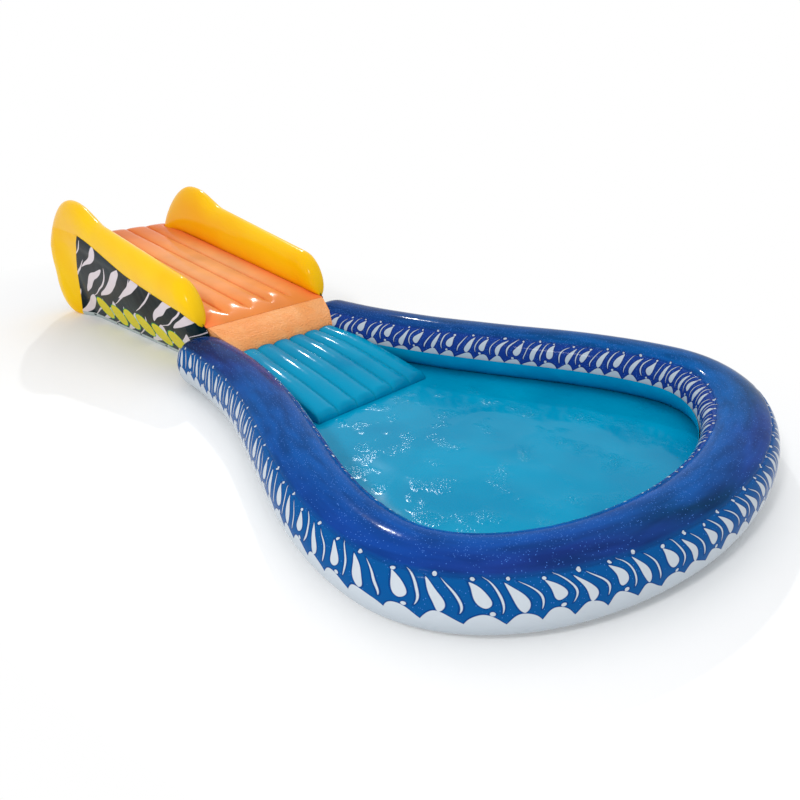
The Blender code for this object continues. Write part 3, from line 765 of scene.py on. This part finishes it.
def valve_matrix(name):
    """A valve's own axes from its packed stem: +Z out of the chamber, 0 at the flange's seat."""
    joint = next(j for j in frame["joints"] if j["name"] == name + "_plug_pull")
    axis = Vector(joint["axis"]).normalized()
    spots = [vert.co for vert in frame["nodes"][name + "_valve_stem"].data.vertices]
    middle = sum(spots, Vector()) / len(spots)
    deepest = min((spot - middle).dot(axis) for spot in spots)
    seat = middle + axis * (deepest + STEM_DEPTH)
    return Matrix.Translation(seat) @ axis.to_track_quat("Z", "X").to_matrix().to_4x4()


def seat_valve(piece, name, in_sheet=False):
    """Opens the film for a valve's stem and sinks the place of its flange."""
    matrix = valve_matrix(name)
    tools = [rod(name + "_pocket", POCKET_RADIUS, -POCKET_DEPTH, 0.03, matrix)]
    if not in_sheet:
        tools.append(rod(name + "_seat", FLANGE_RADIUS + GAP * 2, 0, 0.03, matrix))
    cut(piece, *tools)


# Materials


PVC_IOR = 1.53
INK_EDGE = 0.0008        # over which a printed edge fades


def colour(code):
    """A linear colour from an sRGB hex code."""
    parts = [int(code[k:k + 2], 16) / 255 for k in (1, 3, 5)]
    return [p / 12.92 if p <= 0.04045 else ((p + 0.055) / 1.055) ** 2.4 for p in parts] + [1.0]


def add(tree, kind, links=(), operation=None, **settings):
    """Adds a node with its settings. links gives its first sockets, or those that it names, their
    values or the outputs that they follow; a node stands for its first output."""
    node = tree.nodes.new("ShaderNode" + kind)
    if operation:
        node.operation = operation
    for name, value in settings.items():
        setattr(node, name, value)
    for socket, value in links.items() if isinstance(links, dict) else enumerate(links):
        if isinstance(value, bpy.types.Node):
            value = value.outputs[0]
        if isinstance(value, bpy.types.NodeSocket):
            tree.links.new(value, node.inputs[socket])
        else:
            node.inputs[socket].default_value = value
    return node


def start(name, roughness, specular=0.4):
    """Starts a PVC material. Gives it, its tree, its shader, and places on the object and film."""
    made = bpy.data.materials.new(name)
    made.use_nodes = True
    tree = made.node_tree
    shader = tree.nodes["Principled BSDF"]
    shader.inputs["IOR"].default_value = PVC_IOR
    shader.inputs["Roughness"].default_value = roughness
    shader.inputs["Specular IOR Level"].default_value = specular
    where = add(tree, "TexCoord").outputs
    return made, tree, shader, where["Object"], where["UV"]


def dress(tree, shader, base, where, size, depth, strength, stretch=(1, 1, 1)):
    """A film's colour and its creases, whose size is in metres; stretch draws them out."""
    tree.links.new(base, shader.inputs["Base Color"])
    placed = add(tree, "Mapping", {"Vector": where, "Scale": stretch})
    cells = add(tree, "TexNoise", {"Vector": placed, "Scale": 1 / size, "Detail": 3.0, "Roughness": 0.55})
    bump = add(tree, "Bump", {"Height": cells, "Strength": strength, "Distance": depth})
    tree.links.new(bump.outputs["Normal"], shader.inputs["Normal"])


def shades(tree, share, codes, low=0.0, high=1.0):
    """Colours spread evenly over a share between two limits."""
    ramp = add(tree, "ValToRGB", [share])
    stops = ramp.color_ramp.elements
    stops.remove(stops[1])
    for k, code in enumerate(codes):
        place = low + (high - low) * k / (len(codes) - 1)
        stop = stops.new(place) if k else stops[0]
        stop.position = place
        stop.color = colour(code)
    return ramp.outputs[0]


def tint(tree, where, size, codes, detail=2.0):
    """Two or three shades in soft patches of a size in metres."""
    patches = add(tree, "TexNoise", {"Vector": where, "Scale": 1 / size, "Detail": detail})
    return shades(tree, patches, codes, low=0.36, high=0.64)


def print_ink(tree, under, distance, limit, ink, soft=INK_EDGE):
    """Screen printing: one ink laid over a colour, where a distance is below a limit."""
    edge = add(tree, "MapRange", [distance, limit - soft, limit + soft, 1.0, 0.0])
    return add(tree, "Mix", {0: edge, 6: under, 7: ink}, data_type="RGBA").outputs[2]


def nearest_motif(tree, along, down, pitch, motifs):
    """Metres from a row of leaf and drop shapes that repeats every pitch, below 0 inside them.

    Each is (along, down, half length, half width, lean, bend, taper, bluntness of its ends)."""
    found = None
    for centre, depth, length, width, lean, bend, taper, blunt in motifs:
        y = add(tree, "Math", [down, 1 / length, -depth / length], "MULTIPLY_ADD")
        square = add(tree, "Math", [y, y], "MULTIPLY")
        bent = add(tree, "Math", [square, -bend, along], "MULTIPLY_ADD")
        leant = add(tree, "Math", [y, -lean, bent], "MULTIPLY_ADD")
        near = add(tree, "Math", [leant, centre + pitch / 2, centre - pitch / 2], "WRAP")
        off = add(tree, "Math", [near, centre], "SUBTRACT")
        aside = add(tree, "Math", [off], "ABSOLUTE")
        left = add(tree, "Math", [square, -1.0, 1.0], "MULTIPLY_ADD", use_clamp=True)
        full = add(tree, "Math", [left, blunt], "POWER")
        wide = add(tree, "Math", [y, taper * width, width], "MULTIPLY_ADD")
        half = add(tree, "Math", [full, wide], "MULTIPLY")
        beside = add(tree, "Math", [aside, half], "SUBTRACT")
        reach = add(tree, "Math", [y], "ABSOLUTE")
        past = add(tree, "Math", [reach, length, -length], "MULTIPLY_ADD")
        distance = add(tree, "Math", [beside, past], "MAXIMUM")
        if found is None:
            found = distance
        else:
            found = add(tree, "Math", [found, distance], "MINIMUM")
    return found


DYE_END = 0.004          # from each weld up to where the crown's dye ends
DYE_FADE = 0.012
PRINT_PITCH = 0.36
PRINT_TOP = 0.107        # from the crown down to the printed band
PRINT_WARP = 0.04        # how far the screens stretch
PRINT_HALO = 0.0045      # width of the dark line round each drop
SHORE = 0.140            # from there down to the white foot
SHORE_WAVE = 0.034
GLITTER_CELL = 0.005     # real flecks are 0.4 mm across; these show at a few metres
PRINT_MOTIFS = [
    (0.010, 0.060, 0.044, 0.0150, -0.020, 0.012, 0.35, 0.70),
    (0.098, 0.052, 0.036, 0.0165, -0.016, 0.010, 0.45, 0.60),
    (0.190, 0.062, 0.046, 0.0135, -0.022, 0.014, 0.30, 0.70),
    (0.276, 0.050, 0.034, 0.0155, -0.014, 0.010, 0.50, 0.60),
    (0.054, 0.052, 0.050, 0.0034, -0.020, 0.020, 0.0, 0.60),
    (0.145, 0.058, 0.046, 0.0032, -0.024, 0.018, 0.0, 0.60),
    (0.234, 0.050, 0.050, 0.0034, -0.018, 0.022, 0.0, 0.60),
    (0.322, 0.058, 0.044, 0.0032, -0.022, 0.018, 0.0, 0.60),
    (0.030, 0.004, 0.0060, 0.0060, 0.0, 0.0, 0.0, 0.50),
    (0.078, 0.104, 0.0065, 0.0065, 0.0, 0.0, 0.0, 0.50),
    (0.116, 0.008, 0.0050, 0.0050, 0.0, 0.0, 0.0, 0.50),
    (0.206, 0.004, 0.0065, 0.0065, 0.0, 0.0, 0.0, 0.50),
    (0.262, 0.102, 0.0060, 0.0060, 0.0, 0.0, 0.0, 0.50),
    (0.300, 0.010, 0.0055, 0.0055, 0.0, 0.0, 0.0, 0.50),
]
# Shades along the tube, from its +Y end beside the slide to its -Y end. The darkest, last stop of each
# row is painted shade from the slide; the others are clouds of dye.
CROWN_OUTER_DYE_AND_SHADE = ["#103A74", "#16477F", "#15508A", "#115592", "#12599A", "#0E4A7C", "#244A9C",
               "#10416F", "#203C8C", "#17459C", "#0E509E", "#0A56A2", "#1B3A84", "#0D2550"]
CROWN_INNER_DYE_AND_SHADE = ["#153E80", "#13448A", "#124E94", "#0F569E", "#0D5CA6", "#0C60AC", "#0C5FB0",
               "#0E58A8", "#0E56AC", "#0A58AE", "#0A5AAA", "#12509E", "#1B458E", "#10305E"]


def wall_film():
    """Calendered PVC with glitter in it: smooth, glossy, blue with clouds of purple and teal, darkened
    as painted shade at its -Y end beside the slide, and flecks whose glints are painted lighter blue.
    A band of drops and bubbles is screen printed below each weld."""
    made, tree, shader, at, chart = start("glitter_pvc_film", roughness=0.1, specular=0.02)
    along, around, _ = add(tree, "SeparateXYZ", [chart]).outputs
    from_crown = add(tree, "Math", [around], "ABSOLUTE")

    # Clouds of dye, drawn out along the tube, and painted shade at its -Y end beside the slide
    drawn = add(tree, "Mapping", {"Vector": chart, "Scale": (1.8, 8.0, 1.0)})
    clouds = add(tree, "TexNoise", {"Vector": drawn, "Scale": 1.0, "Detail": 2.0})
    sway = add(tree, "Math", [clouds, 0.18, -0.09], "MULTIPLY_ADD")
    share = add(tree, "Math", [along, 1 / ALONG[-1], sway], "MULTIPLY_ADD")
    level = add(tree, "Math", [around, sway], "ADD")
    outward = add(tree, "MapRange", [level, -0.06, 0.06])
    inner, outer = shades(tree, share, CROWN_INNER_DYE_AND_SHADE), shades(tree, share, CROWN_OUTER_DYE_AND_SHADE)
    ground = add(tree, "Mix", {0: outward, 6: inner, 7: outer}, data_type="RGBA").outputs[2]
    mottle = tint(tree, drawn, 0.35, ["#D0D0D0", "#E8E8E8", "#F8F8F8"])
    ground = add(tree, "Mix", {0: 1.0, 6: ground, 7: mottle}, data_type="RGBA",
                 blend_type="MULTIPLY").outputs[2]
    outside = add(tree, "MapRange", [around, -0.05, 0.05])
    backing = add(tree, "Mix", {0: outside, 6: colour("#1B3D8E"), 7: colour("#0B5394")},
                  data_type="RGBA").outputs[2]
    ground = print_ink(tree, backing, from_crown, SEAM_DOWN - DYE_END, ground, soft=DYE_FADE)

    # Flecks, closer together towards the inside of the pool. The flecks are real glitter; their lighter
    # blue is a painted glint.
    flecks = add(tree, "TexVoronoi", {"Vector": at, "Scale": 1 / GLITTER_CELL, "Randomness": 1.0})
    chance = add(tree, "SeparateXYZ", [flecks.outputs["Color"]])
    crowd = add(tree, "TexNoise", {"Vector": at, "Scale": 5.0, "Detail": 2.0})
    crowd = add(tree, "Math", [crowd, -0.24, 1.06], "MULTIPLY_ADD")
    inner = add(tree, "MapRange", [around, 0.10, -0.06, 0.0, 0.20])
    least = add(tree, "Math", [crowd, inner], "SUBTRACT")
    near = add(tree, "Math", [flecks.outputs["Distance"], 0.30], "SUBTRACT")
    rare = add(tree, "Math", [least, chance], "SUBTRACT")
    glint_fleck = add(tree, "Math", [near, rare], "MAXIMUM")
    ground = print_ink(tree, ground, glint_fleck, 0.0, colour("#4A7ED2"), soft=0.03)

    # Screens stretch as the film is welded, so no two repeats of the print are quite alike
    bend = add(tree, "TexNoise", {"Vector": chart, "Scale": 7.0, "Detail": 1.0})
    bend_along, bend_down, _ = add(tree, "SeparateXYZ", [bend.outputs["Color"]]).outputs
    warped = add(tree, "Math", [bend_along, 0.05, along], "MULTIPLY_ADD")
    sunk = add(tree, "Math", [bend_down, PRINT_WARP, from_crown], "MULTIPLY_ADD")
    down = add(tree, "Math", [sunk, PRINT_TOP + PRINT_WARP / 2], "SUBTRACT")
    motifs = nearest_motif(tree, warped, down, PRINT_PITCH, PRINT_MOTIFS)
    slant = add(tree, "Math", [down, 0.35, warped], "MULTIPLY_ADD")
    turn = add(tree, "Math", [slant, 4 * math.pi / PRINT_PITCH], "MULTIPLY")
    hump = add(tree, "Math", [turn], "SINE")
    hump = add(tree, "Math", [hump], "ABSOLUTE")
    shore = add(tree, "Math", [hump, -SHORE_WAVE, SHORE], "MULTIPLY_ADD")
    band = add(tree, "Math", [shore, down], "SUBTRACT")
    ink = add(tree, "Math", [motifs, band], "MINIMUM")
    halo = add(tree, "Mix", {0: outside, 6: colour("#152C72"), 7: colour("#0B4080")},
               data_type="RGBA").outputs[2]
    # Painted shade: the white ink greys towards the tube's foot, where the section turns under.
    white = shades(tree, from_crown, ["#C6CED6", "#B9C2CA", "#8E9CA6"], low=0.20, high=0.40)
    lined = print_ink(tree, ground, ink, PRINT_HALO, halo)
    drawn = print_ink(tree, lined, ink, 0.0, white)
    dress(tree, shader, drawn, at, size=0.05, depth=0.0012, strength=0.35)
    return made


CREASE = 0.009           # size of the floor's glinting creases
CREASE_PATCH = 0.16
CREASE_DEPTH = 0.0042


def liner_film():
    """Turquoise PVC film, calendered smooth, with patches of small sharp creases that glint."""
    made, tree, shader, at, _ = start("turquoise_pvc_film", roughness=0.12, specular=0.06)
    tree.links.new(tint(tree, at, 0.4, ["#008BB4", "#0091B9", "#0097BF"]), shader.inputs["Base Color"])
    creases = add(tree, "TexNoise", {"Vector": at, "Scale": 1 / CREASE, "Detail": 1.0})
    patches = add(tree, "TexNoise", {"Vector": at, "Scale": 1 / CREASE_PATCH, "Detail": 2.0})
    mask = add(tree, "MapRange", [patches, 0.52, 0.70])
    height = add(tree, "Math", [creases, mask], "MULTIPLY")
    bump = add(tree, "Bump", {"Height": height, "Strength": 1.0, "Distance": CREASE_DEPTH})
    tree.links.new(bump.outputs["Normal"], shader.inputs["Normal"])
    return made


def strip_film():
    """Turquoise PVC film welded along the foot of the wall, where small folds gather in it."""
    made, tree, shader, at, _ = start("turquoise_pvc_strip", roughness=0.2, specular=0.05)
    # Painted light: the floor film's turquoise, made lighter to make up for the wall's shade over it.
    base = tint(tree, at, 0.25, ["#0099C6", "#00A2CE", "#02A9D4"])
    dress(tree, shader, base, at, size=0.035, depth=0.002, strength=0.5)
    return made


# From the bed's rear end to its foot. The darker stops at both ends are painted shade.
BED_SHADES_WITH_PAINTED_SHADE = ["#EA7C36", "#EE8844", "#F39856", "#F8A868", "#FAB074", "#FAB074", "#F8A66A", "#F49A58",
              "#EC8A40"]


def bed_film():
    """Orange PVC film, glossy, with painted shade: redder in the weld grooves and beside the bolsters."""
    made, tree, shader, at, chart = start("orange_pvc_film", roughness=0.15, specular=0.04)
    along, across, _ = add(tree, "SeparateXYZ", [chart]).outputs
    # Painted shade: a darker red-orange line in each weld's groove, fading out over the channels' round
    # ends at the foot.
    lane = BED_WIDTH / BED_CHANNELS
    shifted = add(tree, "Math", [across, lane / 2], "ADD")
    from_weld = add(tree, "Math", [shifted, lane / 2], "PINGPONG")
    foot = add(tree, "MapRange", [along, -CHANNEL_END, -CHANNEL_END / 2, 0.0, 0.05])
    from_weld = add(tree, "Math", [from_weld, foot], "ADD")
    share = add(tree, "Math", [along, 1 / BED_LENGTH, 1.0], "MULTIPLY_ADD")
    base = shades(tree, share, BED_SHADES_WITH_PAINTED_SHADE)
    mottle = tint(tree, at, 0.3, ["#F0EEEC", "#F8F7F6", "#FFFFFF"])
    base = add(tree, "Mix", {0: 1.0, 6: base, 7: mottle}, data_type="RGBA",
               blend_type="MULTIPLY").outputs[2]
    # Painted shade: redder orange along the outer channels, beside the bolsters.
    aside = add(tree, "Math", [across], "ABSOLUTE")
    from_edge = add(tree, "Math", [BED_WIDTH / 2, aside], "SUBTRACT")
    base = print_ink(tree, base, from_edge, 0.05, colour("#F5803F"), soft=0.05)
    drawn = print_ink(tree, base, from_weld, 0.003, colour("#E0672C"), soft=0.004)
    dress(tree, shader, drawn, at, size=0.04, depth=0.0012, strength=0.35)
    return made


def pad_film():
    """Light orange PVC film that is wet and slack: a mesh of fine crosswise creases."""
    made, tree, shader, at, chart = start("crinkled_orange_pvc_film", roughness=0.3, specular=0.08)
    base = tint(tree, at, 0.10, ["#FCA462", "#FDAA68", "#FDB172"])
    dress(tree, shader, base, chart, size=0.009, depth=0.010, strength=0.9, stretch=(1, 0.4, 1))
    return made


def bolster_film():
    """Glossy yellow PVC film drawn tight by air."""
    made, tree, shader, at, _ = start("yellow_pvc_film", roughness=0.16, specular=0.09)
    base = tint(tree, at, 0.5, YELLOWS)
    dress(tree, shader, base, at, size=0.06, depth=0.0012, strength=0.3)
    return made


def ramp_film():
    """Teal PVC film drawn tight over the ramp's air channels, with painted shade in their grooves."""
    made, tree, shader, at, chart = start("teal_pvc_film", roughness=0.1, specular=0.05)
    across = add(tree, "SeparateXYZ", [chart]).outputs["Y"]
    lane = RAMP_TOP_WIDTH / RAMP_RIBS
    from_weld = add(tree, "Math", [across, lane / 2], "PINGPONG")
    base = tint(tree, at, 0.3, ["#0086B0", "#008EB6", "#0094BC"])
    # Painted shade: a darker teal line in the grooves between the ribs.
    drawn = print_ink(tree, base, from_weld, 0.003, colour("#0083A2"), soft=0.005)
    dress(tree, shader, drawn, at, size=0.05, depth=0.0015, strength=0.4)
    return made


RIBBON_SWAY = 0.012
RIBBON_EDGE = 0.006      # its green edge
STRIP_HEIGHT = 0.030     # of the pale strip along the foot
STRIP_MIDDLE = 0.017
STRIP_BEAT = 0.16        # half the way from one dash to the next
DASH = 0.012             # half a dash's length
LEG_PRINT_BOW = 0.045
SWEEP_STRETCH = 1.9      # along the slide
SWEEP_PITCH = 0.50
SWEEPS = [
    (0.060, 0.360, 0.130, 0.030, -0.120, 0.030, -0.30, 0.70),
    (0.235, 0.330, 0.115, 0.024, -0.110, -0.020, 0.35, 0.65),
    (0.400, 0.400, 0.125, 0.030, -0.115, 0.035, 0.20, 0.75),
    (0.150, 0.500, 0.090, 0.022, -0.080, 0.030, 0.20, 0.70),
    (0.330, 0.560, 0.080, 0.024, -0.070, 0.020, -0.20, 0.70),
    (0.020, 0.110, 0.100, 0.028, -0.085, 0.025, 0.25, 0.70),
    (0.190, 0.120, 0.105, 0.024, -0.090, 0.030, -0.25, 0.70),
    (0.350, 0.110, 0.100, 0.030, -0.085, 0.020, 0.10, 0.70),
    (0.150, 0.330, 0.135, 0.006, -0.115, 0.030, 0.0, 0.60),
    (0.320, 0.350, 0.120, 0.006, -0.110, 0.010, 0.0, 0.60),
    (0.480, 0.330, 0.130, 0.006, -0.120, 0.035, 0.0, 0.60),
    (0.250, 0.520, 0.085, 0.005, -0.080, 0.025, 0.0, 0.60),
    (0.110, 0.120, 0.100, 0.006, -0.090, 0.030, 0.0, 0.60),
    (0.275, 0.110, 0.095, 0.006, -0.085, 0.025, 0.0, 0.60),
    (0.440, 0.120, 0.100, 0.006, -0.085, 0.025, 0.0, 0.60),
]


def panel_film():
    """Near-black PVC film with screen-printed sweeps, a beaded ribbon, and a pale strip along its
    foot. Behind a slanting line it is the yellow of the legs that it wraps."""
    made, tree, shader, at, chart = start("printed_pvc_film", roughness=0.2, specular=0.03)
    along, high, _ = add(tree, "SeparateXYZ", [chart]).outputs
    base = tint(tree, at, 0.3, ["#031016", "#051A22", "#08232B"])

    # Sweeps, pushed about so that no two are quite alike
    drift = add(tree, "TexNoise", {"Vector": chart, "Scale": 3.0, "Detail": 1.0})
    squeezed = add(tree, "Math", [along, 1 / SWEEP_STRETCH], "MULTIPLY")
    pushed = add(tree, "Math", [drift, 0.08, squeezed], "MULTIPLY_ADD")
    sweeps = nearest_motif(tree, pushed, high, SWEEP_PITCH, SWEEPS)
    drawn = print_ink(tree, base, sweeps, 0.0, colour("#E3D8DE"))

    # Ribbon: a wave of upright beads with a green edge
    turn = add(tree, "Math", [along, math.tau / RIBBON_WAVE], "MULTIPLY")
    wave = add(tree, "Math", [turn], "SINE")
    middle = add(tree, "Math", [wave, -RIBBON_SWAY, high], "MULTIPLY_ADD")
    off = add(tree, "Math", [middle, RIBBON_HEIGHT], "SUBTRACT")
    flat = add(tree, "Math", [off, BEAD_WIDTH / BEAD_HEIGHT], "MULTIPLY")
    bead = add(tree, "Math", [along, RIBBON_BEAD / 2], "PINGPONG")
    spot = add(tree, "CombineXYZ", [bead, flat])
    reach = add(tree, "VectorMath", [spot], "LENGTH")
    ends = add(tree, "Math", [along, RIBBON_MIDDLE], "SUBTRACT")
    ends = add(tree, "Math", [ends], "ABSOLUTE")
    ends = add(tree, "Math", [ends, RIBBON_LENGTH / 2 - BEAD_WIDTH / 2], "SUBTRACT")
    ribbon = add(tree, "Math", [reach.outputs["Value"], ends], "MAXIMUM")
    drawn = print_ink(tree, drawn, ribbon, BEAD_WIDTH / 2 + RIBBON_EDGE, colour("#2BA84A"))
    drawn = print_ink(tree, drawn, ribbon, BEAD_WIDTH / 2, colour("#DFCF10"))

    # Strip along the foot
    drawn = print_ink(tree, drawn, high, STRIP_HEIGHT, colour("#B9C4C4"))
    beat = add(tree, "Math", [along, STRIP_BEAT], "PINGPONG")
    mid = add(tree, "Math", [high, STRIP_MIDDLE], "SUBTRACT")
    mid = add(tree, "Math", [mid], "ABSOLUTE")
    dash = add(tree, "Math", [mid, 2.0], "MULTIPLY")
    dash = add(tree, "Math", [dash, beat], "MAXIMUM")
    drawn = print_ink(tree, drawn, dash, DASH, colour("#10181C"))

    # The line where the print meets the legs' yellow
    turn = add(tree, "Math", [high, math.pi / PANEL_CORNER], "MULTIPLY")
    bow = add(tree, "Math", [turn], "SINE")
    ahead = add(tree, "Math", [along, -1.0, LEG_PRINT], "MULTIPLY_ADD")
    ahead = add(tree, "Math", [high, -LEG_PRINT_LEAN, ahead], "MULTIPLY_ADD")
    ahead = add(tree, "Math", [bow, LEG_PRINT_BOW, ahead], "MULTIPLY_ADD")
    drawn = print_ink(tree, drawn, ahead, 0.0, tint(tree, at, 0.5, YELLOWS))
    dress(tree, shader, drawn, at, size=0.05, depth=0.0015, strength=0.4)
    return made


def plain_film():
    """Grey PVC film for the sheets that don't show, matt from the roller's pattern."""
    made, tree, shader, at, _ = start("grey_pvc_film", roughness=0.42)
    base = tint(tree, at, 0.2, ["#AEB6C0", "#B8C0CA", "#BFC7D0"])
    dress(tree, shader, base, at, size=0.03, depth=0.001, strength=0.4)
    return made


def valve_vinyl():
    """Soft injection-moulded PVC, milky and slightly see-through, with a fine moulded grain."""
    made, tree, shader, at, _ = start("moulded_soft_pvc", roughness=0.32)
    shader.inputs["Subsurface Weight"].default_value = 0.25
    shader.inputs["Subsurface Scale"].default_value = 0.004
    base = tint(tree, at, 0.01, ["#D3DADE", "#DDE3E6", "#E6EAEC"])
    dress(tree, shader, base, at, size=0.0008, depth=0.0001, strength=0.5)
    return made


# Floor, light and camera


STUDIO_HALF = 40
STUDIO_DROP = 0.0006     # keeps the floor clear of the base
STUDIO_NEAR = 1.1        # metres out to where its shadows fade away
STUDIO_FAR = 2.0


def studio():
    """A white floor that takes soft shadows, a plain white world and three lamps."""
    ground = bmesh.new()
    bmesh.ops.create_grid(ground, x_segments=2, y_segments=2, size=STUDIO_HALF)
    bmesh.ops.translate(ground, verts=ground.verts, vec=(0, 0, -STUDIO_DROP))
    floor = new_piece("studio_floor", ground)
    made = bpy.data.materials.new("studio_floor")
    made.use_nodes = True
    tree = made.node_tree
    shader = tree.nodes["Principled BSDF"]
    shader.inputs["Base Color"].default_value = (0.99, 0.99, 0.99, 1)
    shader.inputs["Roughness"].default_value = 0.9
    shader.inputs["Specular IOR Level"].default_value = 0.0
    ray = add(tree, "LightPath")
    where = add(tree, "TexCoord")
    oval = add(tree, "Mapping", {"Vector": where.outputs["Object"], "Scale": (0.5, 1, 1)})
    reach = add(tree, "VectorMath", [oval], "LENGTH")
    far = add(tree, "MapRange", [reach.outputs["Value"], STUDIO_NEAR, STUDIO_FAR])
    share = add(tree, "Math", [far, plain_rays(tree, ray)], "MULTIPLY")
    white = add(tree, "Emission", {"Color": (1, 1, 1, 1), "Strength": 1.0})
    both = add(tree, "MixShader", [share, shader.outputs["BSDF"], white])
    tree.links.new(both.outputs["Shader"], tree.nodes["Material Output"].inputs["Surface"])
    floor.data.materials.append(made)

    world = bpy.data.worlds.new("studio")
    bpy.context.scene.world = world
    world.use_nodes = True
    tree = world.node_tree
    tree.nodes.clear()
    ray = add(tree, "LightPath")
    plain = add(tree, "Background", {"Color": (0.97, 0.985, 1.0, 1), "Strength": 0.69})
    white = add(tree, "Background", {"Color": (1, 1, 1, 1), "Strength": 1.0})
    seen = add(tree, "MixShader", [plain_rays(tree, ray), plain, white])
    add(tree, "OutputWorld", [seen])

    lamp("sun", "SUN", (-2.3, 2.1, 2.4), (0, 0, 0), power=0.5, angle=1.2)
    lamp("top_box", "AREA", (0.3, 0.6, 4.6), (0.3, 0, 0), power=38, size=3.2, glints=False)
    lamp("front_box", "AREA", (2.4, -4.6, 4.0), (0.4, 0, 0.2), power=110, size=0.65)


def plain_rays(tree, ray):
    """1 for the rays that meet the white background: from the camera, mirrored or through glass."""
    glossy, through = ray.outputs["Is Glossy Ray"], ray.outputs["Is Transmission Ray"]
    mirrored = add(tree, "Math", [glossy, through], "MAXIMUM")
    return add(tree, "Math", [ray.outputs["Is Camera Ray"], mirrored], "MAXIMUM")


def lamp(name, kind, place, target, power, size=1.0, angle=1.0, glints=True):
    data = bpy.data.lights.new(name, kind)
    data.energy = power
    if kind == "AREA":
        data.size = size
    else:
        data.angle = math.radians(angle)
    light = bpy.data.objects.new(name, data)
    bpy.context.scene.collection.objects.link(light)
    light.location = place
    light.visible_glossy = glints
    light.rotation_mode = "QUATERNION"
    light.rotation_quaternion = (Vector(target) - Vector(place)).to_track_quat("-Z", "Y")


def photo_camera():
    """A camera where the photo was taken from."""
    data = bpy.data.cameras.new("photo_view")
    data.sensor_width = 36
    data.lens = CAMERA_LENS
    camera = bpy.data.objects.new("photo_view", data)
    bpy.context.scene.collection.objects.link(camera)
    ahead = Vector((math.sin(CAMERA_TURN) * math.cos(CAMERA_DOWN),
                    math.cos(CAMERA_TURN) * math.cos(CAMERA_DOWN), -math.sin(CAMERA_DOWN)))
    right = ahead.cross(Vector((0, 0, 1))).normalized()
    turn = Matrix.Rotation(-CAMERA_ROLL, 3, ahead)
    right = turn @ right
    above = right.cross(ahead)
    camera.matrix_world = Matrix.Translation(CAMERA_PLACE + FOOT) @ (
        Matrix((right, above, -ahead)).transposed().to_4x4())
    bpy.context.scene.camera = camera


def finish_piece(piece, made, slot, *nodes):
    """Dresses a piece, lets it ride on the pool and hides the plain solids that it stands for."""
    piece.data.materials.clear()
    piece.data.materials.append(made)
    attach(piece, "pool")
    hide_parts(*nodes)


def main():
    photo_camera()
    studio()
    bpy.context.scene.view_settings.view_transform = "Standard"

    wall = make_wall()
    seat_valve(wall, "wall")
    finish_piece(wall, wall_film(), "wall_vinyl", "pool_wall")

    liner = make_liner()
    finish_piece(liner, strip_film(), "liner_vinyl", "wall_liner")
    floor = make_floor()
    finish_piece(floor, liner_film(), "liner_vinyl", "pool_floor")

    yellow = bolster_film()
    printed = panel_film()
    pillows = []
    for name, side in (("left", 1), ("right", -1)):
        bolster = make_bolster(f"{name}_pillow", side)
        finish_piece(bolster, yellow, "bolster_vinyl", f"{name}_bolster")
        pillows.append(bolster)
        panel = make_side_panel(f"{name}_print", side, bolster)
        seat_valve(bolster, name)
        finish_piece(panel, printed, "panel_vinyl", f"{name}_side_panel")

    back = make_back_panel(pillows[0])
    seat_valve(back, "back", in_sheet=True)
    finish_piece(back, printed, "panel_vinyl", "back_panel")
    plain = plain_film()
    base = make_base()
    finish_piece(base, plain, "inner_vinyl", "base_sheet")

    bed = make_bed(*pillows)
    finish_piece(bed, bed_film(), "bed_vinyl", "bed_sheet")
    pad = make_pad()
    finish_piece(pad, pad_film(), "pad_vinyl", "landing_pad")
    ramp = make_ramp()
    seat_valve(ramp, "ramp")
    finish_piece(ramp, ramp_film(), "ramp_vinyl", "entry_ramp")

    moulded = valve_vinyl()
    for name, node in frame["nodes"].items():
        if "valve" in name or "drain" in name:
            node.data.materials.clear()
            node.data.materials.append(moulded)
        elif not node.hide_render:
            node.data.materials.clear()
            node.data.materials.append(plain)


main()
